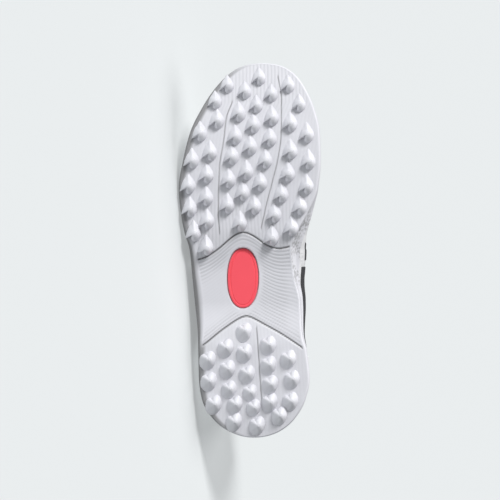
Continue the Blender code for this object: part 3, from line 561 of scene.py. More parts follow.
def make_piece(
    name: str,
    points: Array,
    faces: Sequence[Sequence[int]],
    pose: RestPose,
    uvs: Optional[Array] = None,
    tints: Optional[Dict[str, Array]] = None,
) -> Piece:
    """Make a closed mesh piece from points in the shoe's frame.

    Args:
        name: The piece's name.
        points: Its points.
        faces: Its faces, as indices of the points.
        pose: Where the shoe lies.
        uvs: A UV place in metres for each point.
        tints: Named values for each point that the finish reads.

    Returns:
        The piece as the shoe lies, with its object at the origin.
    """
    mesh = bpy.data.meshes.new(name)
    quads = faces.tolist() if isinstance(faces, np.ndarray) else faces
    mesh.from_pydata(np.asarray(points, float).tolist(), [], quads)
    if uvs is not None:
        corners = np.empty(len(mesh.loops), int)
        mesh.loops.foreach_get("vertex_index", corners)
        layer = mesh.uv_layers.new(name="surface")
        layer.data.foreach_set("uv", np.asarray(uvs, float)[corners].ravel())
    for label, values in (tints or {}).items():
        mesh.attributes.new(label, "FLOAT", "POINT").data.foreach_set("value", np.asarray(values, float))
    work = bmesh.new()
    work.from_mesh(mesh)
    bmesh.ops.remove_doubles(work, verts=work.verts, dist=MERGE)
    bmesh.ops.recalc_face_normals(work, faces=work.faces)
    work.to_mesh(mesh)
    work.free()
    mesh.transform(pose.matrix)
    mesh.shade_smooth()
    mesh.set_sharp_from_angle(angle=math.radians(SHARP_ANGLE))
    return placed(name, mesh)


def settle(item: Piece) -> Piece:
    """Turn a piece with live modifiers into a plain mesh piece.

    Args:
        item: The piece, whose modifiers are all used up.

    Returns:
        A piece of the same name without modifiers.
    """
    bpy.context.view_layer.update()
    mesh = bpy.data.meshes.new_from_object(item.evaluated_get(bpy.context.evaluated_depsgraph_get()))
    name = item.name
    bpy.data.objects.remove(item, do_unlink=True)
    mesh.name = name
    return placed(name, mesh)


def dress(item: Piece, finish: Material, nodes: Sequence[str] = ()) -> None:
    """Give a piece its finish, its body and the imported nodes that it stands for.

    Args:
        item: The piece.
        finish: Its material.
        nodes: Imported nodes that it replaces.
    """
    item.data.materials.clear()
    item.data.materials.append(finish)
    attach(item, BODY)
    if nodes:
        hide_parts(*nodes)
    log.info("%s: %d faces", item.name, len(item.data.polygons))


class NodeKit:
    """Short calls that add and join the nodes of one tree."""

    def __init__(self, tree: Tree) -> None:
        """Keep the tree."""
        self.tree = tree

    def add(self, kind: str, inputs: Optional[Dict[Any, Any]] = None, **values: Any) -> bpy.types.Node:
        """Add a node.

        Args:
            kind: The node's type.
            inputs: For an input's name or number, a value or another node's output.
            **values: The node's own settings.

        Returns:
            The node.
        """
        node = self.tree.nodes.new(kind)
        for name, value in values.items():
            setattr(node, name, value)
        for name, value in (inputs or {}).items():
            if isinstance(value, Socket):
                self.link(value, node.inputs[name])
            else:
                node.inputs[name].default_value = value
        return node

    def link(self, value: Socket, target: Socket) -> None:
        """Join an output to an input."""
        self.tree.links.new(value, target)

    def math(self, operation: str, *values: Any) -> Socket:
        """Output of a Math node."""
        return self.add("ShaderNodeMath", dict(enumerate(values)), operation=operation).outputs[0]

    def ramp(self, value: Socket, low: float, high: float) -> Socket:
        """Value mapped softly from low to high onto 0 to 1."""
        settings = {"Value": value, "From Min": low, "From Max": high}
        return self.add("ShaderNodeMapRange", settings, interpolation_type="SMOOTHSTEP").outputs[0]

    def mix(self, share: Any, first: Any, second: Any) -> Socket:
        """Mixed colour."""
        node = self.add("ShaderNodeMix", {0: share, 6: first, 7: second}, data_type="RGBA")
        return node.outputs[2]


def group(name: str, inputs: Dict[str, Tuple[str, Any]], outputs: Dict[str, str]) -> Tuple[Any, ...]:
    """Start a shader node group.

    Args:
        name: The group's name.
        inputs: For each input, its socket type and its value.
        outputs: For each output, its socket type.

    Returns:
        The group, its kit of calls, its input node and its output node.
    """
    tree = bpy.data.node_groups.new(name, "ShaderNodeTree")
    for label, (kind, value) in inputs.items():
        socket = tree.interface.new_socket(label, in_out="INPUT", socket_type=kind)
        if value is not None:
            socket.default_value = value
    for label, kind in outputs.items():
        tree.interface.new_socket(label, in_out="OUTPUT", socket_type=kind)
    kit = NodeKit(tree)
    return tree, kit, kit.add("NodeGroupInput"), kit.add("NodeGroupOutput")


def grain_group() -> Tree:
    """Fine uneven grain with a slow change of tone.

    Returns:
        The group.
    """
    tree, kit, source, sink = group(
        "moulded_grain",
        {"Vector": ("NodeSocketVector", None), "Scale": (FLOAT, 900.0), "Drift": (FLOAT, 30.0)},
        {"Height": FLOAT, "Tone": FLOAT},
    )
    for k, detail in ((0, 3.0), (1, 2.0)):
        settings = {"Vector": source.outputs[0], "Scale": source.outputs[k + 1], "Detail": detail}
        kit.link(kit.add("ShaderNodeTexNoise", settings).outputs[0], sink.inputs[k])
    return tree


def weave_group() -> Tree:
    """Plain weave over a UV place in metres: threads that pass over and under each other, with painted shade
    in the gaps between them.

    Returns:
        The group.
    """
    tree, kit, source, sink = group(
        "plain_weave",
        {"Vector": ("NodeSocketVector", None), "Pitch": (FLOAT, 0.0008)},
        {"Height": FLOAT, "Gap": FLOAT},
    )
    parts = kit.add("ShaderNodeSeparateXYZ", {0: source.outputs[0]})
    x, y = (kit.math("DIVIDE", parts.outputs[k], source.outputs[1]) for k in (0, 1))
    across = kit.math("ABSOLUTE", kit.math("SINE", kit.math("MULTIPLY", x, math.pi)))
    along = kit.math("ABSOLUTE", kit.math("SINE", kit.math("MULTIPLY", y, math.pi)))
    turn = kit.math("PINGPONG", kit.math("ADD", kit.math("FLOOR", x), kit.math("FLOOR", y)), 1.0)
    over = kit.math("MULTIPLY", across, turn)
    under = kit.math("MULTIPLY", along, kit.math("SUBTRACT", 1.0, turn))
    height = kit.math("ADD", over, under)
    kit.link(height, sink.inputs[0])
    # Painted shade in the gaps between threads, where both thread profiles are low
    kit.link(kit.ramp(kit.math("MULTIPLY", across, along), 0.25, 0.0), sink.inputs[1])
    return tree


def fleck_group() -> Tree:
    """Raised flecks of uneven size that lie close together.

    Returns:
        The group.
    """
    tree, kit, source, sink = group(
        "raised_flecks",
        {"Vector": ("NodeSocketVector", None), "Scale": (FLOAT, 420.0), "Cover": (FLOAT, 0.5)},
        {"Height": FLOAT, "Mask": FLOAT},
    )
    cells = kit.add("ShaderNodeTexVoronoi", {"Vector": source.outputs[0], "Scale": source.outputs[1]})
    patches = kit.add("ShaderNodeTexNoise", {"Vector": source.outputs[0], "Scale": 95.0, "Detail": 3.0})
    dome = kit.ramp(cells.outputs["Distance"], 0.72, 0.35)
    mask = kit.ramp(kit.math("SUBTRACT", patches.outputs[0], source.outputs[2]), -0.03, 0.05)
    kit.link(kit.math("MULTIPLY", dome, mask), sink.inputs[0])
    kit.link(mask, sink.inputs[1])
    return tree


class Effects:
    """The node groups that several finishes use, each built once."""

    def __init__(self) -> None:
        """Build the groups."""
        self.grain = grain_group()
        self.weave = weave_group()
        self.flecks = fleck_group()


class Pattern(Enum):
    """What covers a surface."""

    MOULDED = "moulded"
    FLECKED = "flecked"
    WOVEN = "woven"
    CORDED = "corded"


@dataclass(frozen=True)
class Finish:
    """One material of the shoe: its colours, gloss and surface."""

    name: str
    colour: Colour
    # shade: the darker second colour, mixed in by random tone, by the knit's flecks, and in a weave as
    # painted shade in the gaps between threads
    shade: Colour
    roughness: float
    pattern: Pattern
    pitch: float = 0.0008
    relief: float = 0.00003
    coat: float = 0.0
    tone: float = 0.3

    def material(self, effects: Effects) -> Material:
        """Build the material's nodes.

        Args:
            effects: The shared node groups.

        Returns:
            The material.
        """
        made = bpy.data.materials.new(self.name)
        made.use_nodes = True
        kit = NodeKit(made.node_tree)
        shader = made.node_tree.nodes["Principled BSDF"]
        place = kit.add("ShaderNodeTexCoord")
        flat = place.outputs["UV"]
        solid = place.outputs["Object"]
        grain = kit.add("ShaderNodeGroup", node_tree=effects.grain)
        kit.link(solid, grain.inputs["Vector"])
        grain.inputs["Scale"].default_value = 1.0 / self.pitch
        height, mask = grain.outputs["Height"], grain.outputs["Tone"]
        if self.pattern is Pattern.FLECKED:
            flecks = kit.add("ShaderNodeGroup", node_tree=effects.flecks)
            kit.link(solid, flecks.inputs["Vector"])
            flecks.inputs["Scale"].default_value = 1.0 / self.pitch
            height = kit.math("ADD", flecks.outputs["Height"], kit.math("MULTIPLY", height, 0.2))
            mask = flecks.outputs["Height"]
        if self.pattern in (Pattern.WOVEN, Pattern.CORDED):
            weave = kit.add("ShaderNodeGroup", node_tree=effects.weave)
            kit.link(flat, weave.inputs["Vector"])
            weave.inputs["Pitch"].default_value = self.pitch
            # For a weave the mask is painted shade in the gaps between threads
            height, mask = weave.outputs["Height"], weave.outputs["Gap"]
        tone = kit.ramp(grain.outputs["Tone"], 0.35, 0.65)
        share = kit.math("MULTIPLY", kit.math("ADD", kit.math("MULTIPLY", mask, 0.75), tone), self.tone)
        base = kit.mix(share, (*self.colour, 1.0), (*self.shade, 1.0))
        if self.pattern is Pattern.MOULDED:
            # Painted shade from the sole's attribute: in its grooves, ribs and inlay pocket, and on its
            # lateral side
            hollow = kit.add("ShaderNodeAttribute", attribute_name="hollow").outputs["Fac"]
            fleck = kit.add("ShaderNodeAttribute", attribute_name="fleck").outputs["Fac"]
            spots = kit.add("ShaderNodeGroup", node_tree=effects.flecks)
            kit.link(solid, spots.inputs["Vector"])
            spots.inputs["Scale"].default_value = SIDE_FLECKS
            spots.inputs["Cover"].default_value = SIDE_COVER
            spotted = kit.math("MULTIPLY", fleck, spots.outputs["Height"])
            base = kit.mix(kit.math("MULTIPLY", spotted, TINT), base, (*FLECK_GREY, 1.0))
            # Mix the painted shade in over the base colour
            base = kit.mix(kit.math("MULTIPLY", hollow, TINT), base, (*PAINTED_SHADE_GREY, 1.0))
            height = kit.math("ADD", height, kit.math("MULTIPLY", spotted, FLECK_RELIEF))
        kit.link(base, shader.inputs["Base Color"])
        settings = {"Value": grain.outputs["Tone"], "To Min": self.roughness - 0.05}
        gloss = kit.add("ShaderNodeMapRange", {**settings, "To Max": self.roughness + 0.05})
        kit.link(gloss.outputs[0], shader.inputs["Roughness"])
        bump = kit.add("ShaderNodeBump", {"Height": height, "Distance": self.relief, "Strength": 1.0})
        kit.link(bump.outputs[0], shader.inputs["Normal"])
        shader.inputs["Coat Weight"].default_value = self.coat
        return made


# Grey of the painted shade in grooves, ribs, the inlay's pocket and on the lateral side, grey of the side
# flecks, the flecks' count per metre and cover, and how much a tint covers
PAINTED_SHADE_GREY = (0.11, 0.108, 0.105)
FLECK_GREY = (0.42, 0.42, 0.43)
SIDE_FLECKS = 420.0
SIDE_COVER = 0.42
FLECK_RELIEF = 8.0
TINT = 0.9

# Finishes: colour, shade, roughness, pattern, pitch, relief and coat
RUBBER = Finish(
    "white_sole_rubber", (0.71, 0.708, 0.748), (0.665, 0.665, 0.705), 0.50, Pattern.MOULDED, 0.0006, 0.000012
)
CORAL = Finish(
    "coral_rubber", (0.99, 0.10, 0.133), (0.93, 0.09, 0.12), 0.45, Pattern.MOULDED, 0.0005, 0.00001
)
KNIT = Finish(
    "flecked_white_upper", (0.80, 0.80, 0.81), (0.55, 0.56, 0.57), 0.52, Pattern.FLECKED, 0.0022, 0.00016
)
FILM = Finish(
    "white_film", (0.84, 0.84, 0.85), (0.78, 0.78, 0.79), 0.42, Pattern.MOULDED, 0.0007, 0.00001, 0.1
)
CHARCOAL = Finish(
    "charcoal_knit", (0.045, 0.046, 0.05), (0.02, 0.02, 0.022), 0.7, Pattern.WOVEN, 0.0011, 0.00012
)
LINING = Finish(
    "charcoal_lining", (0.055, 0.056, 0.06), (0.025, 0.025, 0.03), 0.85, Pattern.WOVEN, 0.0009, 0.0001
)
LACE = Finish(
    "white_lace_weave", (0.86, 0.86, 0.86), (0.62, 0.62, 0.63), 0.75, Pattern.CORDED, 0.0007, 0.00014
)
THREAD = Finish(
    "white_thread", (0.86, 0.86, 0.86), (0.70, 0.70, 0.70), 0.6, Pattern.MOULDED, 0.0003, 0.00002
)
TONGUE_CLOTH = Finish(
    "white_tongue_mesh", (0.82, 0.82, 0.83), (0.58, 0.59, 0.6), 0.7, Pattern.WOVEN, 0.0013, 0.00015
)


@dataclass
class SoleCup:
    """The rubber cup: its underside with grooves and fine ribs, its stepped side and its inside."""

    form: ShoeForm
    pose: RestPose
    half: int = 380
    across: int = 184
    bevel_height: float = 0.0030
    bevel_steps: int = 7
    step_below_rim: float = 0.35
    step_depth: float = 0.0006
    line_depth: float = 0.0004
    rim_round: float = 0.0009
    groove_width: float = 0.0011
    groove_depth: float = 0.0011
    groove_soft: float = 0.0026
    thin_width: float = 0.000825
    thin_share: float = 0.52
    rib_pitch: float = 0.0027
    rib_width: float = 0.0011
    rib_depth: float = 0.00026
    rib_fade: float = 0.0030
    faint: float = 0.15
    clearer: float = 0.50
    # Relief depth that gives full painted shade in the grooves and ribs
    painted_shade_depth: float = 0.0008
    edge_margin: float = 0.0012
    inlay_place: Pair = (0.425, -0.050)
    inlay_size: Pair = (0.0450, 0.0230)
    inlay_gap: float = 0.0009
    pocket_depth: float = 0.0012
    # Painted shade on the lateral side: its strength, its strength at the plate's edge where the side is
    # narrow, the share of the bevel's turn where it is full, its share below that, and how far it reaches
    # onto the plate
    lateral_painted_shade: float = 0.90
    narrow_painted_shade: float = 0.9
    painted_shade_full_from: float = 0.53
    painted_shade_ramp: float = 0.60
    painted_shade_reach: Pair = (0.0008, 0.0042)
    inner_rows: int = 6
    fleck_back: Pair = (0.38, 0.44)
    fleck_front: Pair = (0.58, 0.63)

    def across_groove(self, x: Array, y: Array, line: Line) -> Tuple[Array, Array]:
        """Distances from a groove that runs from side to side.

        Args:
            x: Places along the shoe.
            y: Places across it.
            line: The groove's points.

        Returns:
            How far each place lies ahead of the groove along x, and its distance from it.
        """
        u, v = np.array(line).T
        keys = v * self.form.ball_width
        places = u * self.form.length
        before, at, after = (smooth(keys, places, y + k * self.groove_soft) for k in (-1, 0, 1))
        slope = (after - before) / (2 * self.groove_soft)
        at = (before + at + after) / 3
        return x - at, np.abs(x - at) / np.sqrt(1 + slope ** 2)

    def along_groove(self, x: Array, y: Array, line: Line) -> Tuple[Array, Array]:
        """Distances from a groove that runs lengthwise.

        Args:
            x: Places along the shoe.
            y: Places across it.
            line: The groove's points, from toe to heel.

        Returns:
            How far each place lies to the medial side, and how far past the groove's ends.
        """
        u, v = np.array(line[::-1]).T
        keys = u * self.form.length
        past = np.maximum(keys[0] - x, x - keys[-1])
        return y - smooth(keys, v * self.form.ball_width, x), np.maximum(past, 0.0)

    def dent(self, distance: Array, width: float) -> Array:
        """Soft groove profile: 1 on its middle line."""
        return np.exp(-((distance / (0.5 * width)) ** 2))

    def lines(self, place: Array) -> Array:
        """Fine grooves at a regular pitch over a running distance."""
        off = (place / self.rib_pitch - np.round(place / self.rib_pitch)) * self.rib_pitch
        return self.dent(off, self.rib_width)

    def relief(self, x: Array, y: Array) -> Array:
        """How far the underside is hollowed at each place.

        Args:
            x: Places along the shoe.
            y: Places across it.

        Returns:
            Depths into the sole.
        """
        ahead_front, near_front = self.across_groove(x, y, GROOVE_FRONT)
        ahead_back, near_back = self.across_groove(x, y, GROOVE_BACK)
        left, past_left = self.along_groove(x, y, GROOVE_LEFT)
        right, past_right = self.along_groove(x, y, GROOVE_RIGHT)
        heel, past_heel = self.along_groove(x, y, GROOVE_HEEL)
        grooves = self.dent(np.minimum(near_front, near_back), self.groove_width)
        thin = self.thin_width
        for off, past in ((left, past_left), (right, past_right), (heel, past_heel)):
            line = self.thin_share * self.dent(off, thin) * self.dent(past, 4 * thin)
            grooves = np.maximum(grooves, line)
        span = ahead_back - ahead_front
        share = np.clip(-ahead_front / np.maximum(span, MERGE), 0.0, 1.0)
        count = np.round(np.median(span) / self.rib_pitch)
        chevrons = self.lines(share * count * self.rib_pitch)
        fade = self.rib_fade
        inside = blend(0.0, fade, -ahead_front) * blend(0.0, fade, ahead_back)
        half_length, half_width = (0.5 * s + 2 * self.inlay_gap for s in self.inlay_size)
        inlay_x = (x - self.form.length * self.inlay_place[0]) / half_length
        inlay_y = (y - self.form.ball_width * self.inlay_place[1]) / half_width
        clear = blend(1.0, 1.25, np.hypot(inlay_x, inlay_y))
        near = np.maximum(1 - blend(0.12, 0.36, share), blend(0.80, 0.95, share))
        side = np.maximum(0.12 + 0.88 * near, blend(0.002, 0.012, y) * (1 - 0.6 * blend(0.024, 0.032, y)))
        ribs = chevrons * inside * clear * side
        front = blend(0.0, fade, ahead_front)
        back = blend(0.0, fade, -ahead_back)
        u = x / self.form.length
        open_rows = np.maximum(1 - blend(0.60, 0.66, u), blend(0.86, 0.92, u))
        ribs = ribs + self.lines(left) * front * (self.faint + (self.clearer - self.faint) * open_rows)
        ribs = ribs + self.faint * self.lines(heel) * back
        return self.groove_depth * grooves + self.rib_depth * ribs * (1 - grooves)

    def profile(self, phi: Array) -> List[Array]:
        """The side's section, from the underside over the rim to the cup's floor.

        Args:
            phi: Angles round the edge.

        Returns:
            One array of points for each line of the section.
        """
        form = self.form
        u = form.share(phi)
        edge, normal = form.edge(phi), form.edge_normal(phi)
        inset = form.plan_value("inset", phi)
        inset = np.abs(inset)[:, None]
        bottom, top = form.plate_bottom(u), form.rim_top(u)

        def at(plan: Array, z: Array) -> Array:
            """Points from their plan and height."""
            return np.concatenate((plan, z[:, None]), 1)

        rows = []
        for k in range(self.bevel_steps + 1):
            turn = 0.5 * math.pi * k / self.bevel_steps
            plan = edge - normal * inset * (1 - math.sin(turn))
            rows.append(at(plan, bottom + self.bevel_height * (1 - math.cos(turn))))
        wall = form.clearance + form.rim_wall
        step_z = top - self.step_below_rim * (top - bottom)
        t_step = form.share_at(phi, step_z)
        t_rim = form.share_at(phi, top)
        outer = form.level_lift(phi, t_step, wall)
        start = rows[-1]
        for share in (0.33, 0.66, 0.92):
            rows.append(start + (outer - start) * share)
        line = form.level_lift(phi, t_step, wall - self.step_depth - self.line_depth)
        rows += [outer, at(line[:, :2], outer[:, 2] + 0.4 * self.step_depth)]
        shelf = form.level_lift(phi, t_step, wall - self.step_depth)
        rows.append(at(shelf[:, :2], outer[:, 2] + 1.4 * self.step_depth))
        rim_outer = form.level_lift(phi, t_rim, wall - self.step_depth)
        rim_inner = form.level_lift(phi, t_rim, form.clearance)
        rows.append(rows[-1] + (at(rim_outer[:, :2], top - self.rim_round) - rows[-1]) * 0.5)
        middle = (rim_outer + rim_inner) / 2
        for k in range(7):
            turn = math.pi * k / 6
            plan = middle[:, :2] + (rim_outer - middle)[:, :2] * math.cos(turn)
            rows.append(at(plan, top - self.rim_round * (1 - math.sin(turn))))
        base = form.level_lift(phi, np.zeros(len(phi)), form.clearance)
        rows.append(at((base[:, :2] + rim_inner[:, :2]) / 2, (form.floor_top(u) + top) / 2))
        rows.append(at(base[:, :2], form.floor_top(u)))
        return rows

    def build(self) -> Piece:
        """Build the cup.

        Returns:
            The piece.
        """
        form = self.form
        phi = form.loop(self.half)
        rows = self.profile(phi)
        section = np.stack(rows, 1)
        points = [section.reshape(-1, 3)]
        faces = [grid_faces(len(phi), len(rows))]
        shade, fleck = self.side_shade_and_flecks(phi, len(rows))
        hollow, flecked = [shade.ravel()], [fleck.ravel()]
        share = np.linspace(0.0, 1.0, self.across + 1)[None, :, None]
        for ring, relieved in ((rows[0], True), (rows[-1], False)):
            steps = share if relieved else np.linspace(0.0, 1.0, 5)[None, :, None]
            medial = ring[: self.half + 1][:, None, :]
            lateral = ring[self.half:][::-1][:, None, :]
            sheet = lateral + (medial - lateral) * steps
            depth = np.zeros(sheet.shape[:2])
            if relieved:
                wide = (medial - lateral)[..., 1]
                reach = np.minimum(steps, 1 - steps)[..., 0] * wide
                depth = self.relief(sheet[..., 0], sheet[..., 1]) * blend(0.0, self.edge_margin, reach)
                sheet[..., 2] += depth
                # Painted shade of the lateral side, carried a little way onto the plate from its edge
                near = 1 - blend(*self.painted_shade_reach, steps[..., 0] * wide)
                border = shade[self.half:, 0][::-1, None] * near
                inside = self.pocket(sheet)
                level = float(form.plate_bottom(self.inlay_place[0])) + self.pocket_depth
                sheet[..., 2] += (np.maximum(level, sheet[..., 2]) - sheet[..., 2]) * inside
                # From here depth only sets painted shade: in the grooves and ribs, half in the inlay's
                # pocket, and near the lateral edge
                depth = np.maximum(depth * (1 - inside), 0.5 * self.painted_shade_depth * inside)
                depth = np.maximum(depth, border * self.painted_shade_depth)
            start = sum(len(p) for p in points)
            points.append(sheet.reshape(-1, 3))
            hollow.append(np.clip(depth / self.painted_shade_depth, 0.0, 1.0).ravel())
            flecked.append(np.zeros(depth.size))
            faces.append(grid_faces(sheet.shape[0], sheet.shape[1]) + start)
        tints = {"hollow": np.concatenate(hollow), "fleck": np.concatenate(flecked)}
        return make_piece("sole_cup", np.concatenate(points), np.concatenate(faces), self.pose, None, tints)

    def side_shade_and_flecks(self, phi: Array, rows: int) -> Tuple[Array, Array]:
        """Painted shade and flecks of the side: painted shade low down on the lateral side, flecks at the
        arch.

        Args:
            phi: Angles round the edge.
            rows: Lines of the section.

        Returns:
            How much painted shade and how flecked each point of the section is.
        """
        u = self.form.share(phi)
        row = np.arange(rows)
        outside = row < rows - self.inner_rows
        out = np.sin(0.5 * math.pi * np.clip(row / self.bevel_steps, 0.0, 1.0))
        rise = np.where(out > self.painted_shade_full_from, 1.0, self.painted_shade_ramp * out / self.painted_shade_full_from) * outside
        narrow = 1 - blend(0.020, 0.035, np.abs(self.form.plan_value("inset", phi)) / self.form.ball_width)
        start = self.narrow_painted_shade * narrow[:, None]
        # Painted shade: full on the lateral side, none on the medial side
        lateral = self.lateral_painted_shade * blend(0.0, 0.5, -np.sin(phi))[:, None]
        shade = lateral * (start + (1 - start) * rise) * outside
        arch = blend(*self.fleck_back, u) * (1 - blend(*self.fleck_front, u)) * (np.sin(phi) > 0)
        return shade, arch[:, None] * blend(0.0, 0.9, out) * outside

    def pocket(self, sheet: Array) -> Array:
        """How far each place lies in the inlay's pocket: 1 inside, 0 outside.

        Args:
            sheet: Places on the underside.

        Returns:
            A share for each place.
        """
        middle = np.array(self.inlay_place) * (self.form.length, self.form.ball_width)
        off = np.abs(sheet[..., :2] - middle) / (0.5 * np.array(self.inlay_size) + self.inlay_gap)
        return 1 - blend(0.96, 1.0, np.sum(off ** 2.2, -1) ** (1 / 2.2))


@dataclass(frozen=True)
class Stud:
    """One stud: a ramp from its point to a rounded crest, with a notch at its blunt end."""

    name: str
    outline: Line
    powers: Line
    length: float = 0.0142
    width: float = 0.0114
    height: float = 0.0063
    crest: Pair = (-0.30, -0.12)
    tip: float = 0.27
    rings: int = 11
    sides: int = 56
    skirt: float = 1.10
    sink: float = 0.0003
    caps: Line = ((0.84, 0.915), (0.66, 0.995), (0.32, 1.0))

    def build(self) -> Piece:
        """Build the stud in its own frame: its point at +x, its crest at +z.

        Returns:
            The stud's mesh object.
        """
        half = np.array((0.5 * self.length, 0.5 * self.width))
        crest = np.array(self.crest)
        table = np.array(self.outline) - crest
        angle = np.unwrap(np.arctan2(table[:, 1], table[:, 0]))
        keys = np.append(angle, angle[0] + 2 * math.pi)
        reach = np.append(np.hypot(*table.T), np.hypot(*table[0]))
        turn = keys[0] + np.linspace(0.0, 2 * math.pi, self.sides, endpoint=False)
        spoke = np.stack((np.cos(turn), np.sin(turn)), -1)
        foot = spoke * smooth(keys, reach, turn)[:, None]
        power = np.interp(np.degrees(turn) % 360, *np.array(self.powers).T)
        rings = [(crest + foot * self.skirt, -self.sink / self.height), (crest + foot * 1.02, 0.03)]
        cap = spoke * self.tip * (1.0, self.length / self.width)
        for share in np.linspace(0.0, 1.0, self.rings + 1)[1:]:
            rings.append((crest + foot * (1 - share) + cap * share, 0.04 + 0.90 * share ** power))
        rings += [(crest + cap * size, lift) for size, lift in self.caps]
        level = np.ones(self.sides) * self.height
        points = [np.column_stack((plan * half, lift * level)) for plan, lift in rings]
        count = len(points)
        faces = []
        for ring in range(count - 1):
            for k in range(self.sides):
                low, high = ring * self.sides + k, ring * self.sides + (k + 1) % self.sides
                faces.append((low, high, high + self.sides, low + self.sides))
        faces.append(tuple(range((count - 1) * self.sides, count * self.sides)))
        faces.append(tuple(reversed(range(self.sides))))
        mesh = bpy.data.meshes.new(self.name)
        mesh.from_pydata(np.concatenate(points).tolist(), [], faces)
        mesh.shade_smooth()
        return placed(self.name, mesh)


def geometry_tree(name: str, inputs: Dict[str, str]) -> Tuple[Tree, NodeKit, Any, Any]:
    """Start a geometry node tree.

    Args:
        name: The tree's name.
        inputs: For each named input, its socket type.

    Returns:
        The tree, its kit of calls, its input node and its output node.
    """
    tree = bpy.data.node_groups.new(name, "GeometryNodeTree")
    tree.interface.new_socket("Geometry", in_out="INPUT", socket_type="NodeSocketGeometry")
    for label, kind in inputs.items():
        tree.interface.new_socket(label, in_out="INPUT", socket_type=kind)
    tree.interface.new_socket("Geometry", in_out="OUTPUT", socket_type="NodeSocketGeometry")
    kit = NodeKit(tree)
    return tree, kit, kit.add("NodeGroupInput"), kit.add("NodeGroupOutput")


def finish_tree(kit: NodeKit, instances: Any, material: Any, sink: Any) -> None:
    """End a tree in Realize Instances and Set Material.

    Args:
        kit: The tree's calls.
        instances: The geometry so far.
        material: The material input.
        sink: The output node.
    """
    real = kit.add("GeometryNodeRealizeInstances", {0: instances})
    smooth_real = kit.add("GeometryNodeSetShadeSmooth", {0: real.outputs[0]})
    done = kit.add("GeometryNodeSetMaterial", {0: smooth_real.outputs[0], "Material": material})
    kit.link(done.outputs[0], sink.inputs[0])


def scatter_tree() -> Tree:
    """Place a shape on every point, turned and sized by the point's own attributes.

    Returns:
        The tree.
    """
    labels = {"Shape": "NodeSocketObject", "Size": FLOAT, "Material": "NodeSocketMaterial"}
    tree, kit, source, sink = geometry_tree("scattered_shapes", labels)
    shape = kit.add("GeometryNodeObjectInfo", {"Object": source.outputs["Shape"]})
    turn = kit.add("GeometryNodeInputNamedAttribute", {"Name": "turn"}, data_type="FLOAT_VECTOR")
    size = kit.add("GeometryNodeInputNamedAttribute", {"Name": "size"}, data_type="FLOAT")
    scale = kit.math("MULTIPLY", size.outputs[0], source.outputs["Size"])
    rotation = kit.add("FunctionNodeEulerToRotation", {0: turn.outputs[0]})
    placed = kit.add(
        "GeometryNodeInstanceOnPoints",
        {
            "Points": source.outputs[0],
            "Instance": shape.outputs["Geometry"],
            "Rotation": rotation.outputs[0],
            "Scale": scale,
        },
    )
    finish_tree(kit, placed.outputs[0], source.outputs["Material"], sink)
    return tree


def stitch_tree() -> Tree:
    """Lay a shape along every line at an even pitch, its x axis along the line.

    Returns:
        The tree.
    """
    labels = {"Shape": "NodeSocketObject", "Pitch": FLOAT, "Material": "NodeSocketMaterial"}
    tree, kit, source, sink = geometry_tree("stitched_lines", labels)
    shape = kit.add("GeometryNodeObjectInfo", {"Object": source.outputs["Shape"]})
    curve = kit.add("GeometryNodeMeshToCurve", {0: source.outputs[0]})
    settings = {0: curve.outputs[0], "Length": source.outputs["Pitch"]}
    even = kit.add("GeometryNodeResampleCurve", settings, mode="LENGTH")
    tangent = kit.add("GeometryNodeInputTangent")
    turn = kit.add("FunctionNodeAlignRotationToVector", {"Vector": tangent.outputs[0]}, axis="X")
    placed = kit.add(
        "GeometryNodeInstanceOnPoints",
        {"Points": even.outputs[0], "Instance": shape.outputs["Geometry"], "Rotation": turn.outputs[0]},
    )
    finish_tree(kit, placed.outputs[0], source.outputs["Material"], sink)
    return tree


def run_tree(item: Piece, tree: Tree, values: Dict[str, Any]) -> Piece:
    """Run a geometry tree on an object and keep the result as a plain mesh.

    Args:
        item: The object.
        tree: The tree.
        values: A value for each named input. The object under Shape is used up.

    Returns:
        The finished piece.
    """
    live = item.modifiers.new("nodes", "NODES")
    live.node_group = tree
    for entry in tree.interface.items_tree:
        if entry.in_out == "INPUT" and entry.name in values:
            live[entry.identifier] = values[entry.name]
    item.update_tag()
    piece = settle(item)
    bpy.data.objects.remove(values["Shape"], do_unlink=True)
    return piece


@dataclass
class StudField:
    """All the studs of one region of the sole."""

    form: ShoeForm
    pose: RestPose
    name: str
    stud: Stud
    places: Sequence[Pair]
    heading: int
    small_from: float = 0.885
    small: float = 0.90
    space: float = 1.06
    slope_step: float = 0.004

    def size_at(self, place: Pair) -> float:
        """Size of a stud: smaller at the toe, and never much larger than its neighbours allow.

        Args:
            place: The stud's place.

        Returns:
            Its size, 1 for a full one.
        """
        spans = [
            math.hypot(
                (u - place[0]) * self.form.length / self.stud.length,
                (v - place[1]) * self.form.ball_width / self.stud.width,
            )
            for u, v in self.places
            if (u, v) != place
        ]
        largest = self.small if place[0] > self.small_from else 1.0
        return min(largest, self.space * min(spans))

    def build(self, tree: Tree, finish: Material) -> Piece:
        """Build the field with the scatter tree.

        Args:
            tree: The scatter tree.
            finish: The rubber.

        Returns:
            The piece.
        """
        points, turns, sizes = [], [], []
        for u, v in self.places:
            low, high = (float(self.form.plate_bottom(u + k * self.slope_step)) for k in (-1, 1))
            slope = (high - low) / (2 * self.slope_step * self.form.length)
            forward = Vector((1.0, 0.0, slope)).normalized() * self.heading
            down = Vector((slope, 0.0, -1.0)).normalized()
            turn = self.pose.turn() @ Matrix((forward, down.cross(forward), down)).transposed()
            turns.append(turn.to_euler())
            sizes.append(self.size_at((u, v)))
            level = float(self.form.plate_bottom(u))
            points.append(self.pose.matrix @ Vector((self.form.length * u, self.form.ball_width * v, level)))
        item = cloud(self.name, points, turns, sizes)
        return run_tree(item, tree, {"Shape": self.stud.build(), "Size": 1.0, "Material": finish})


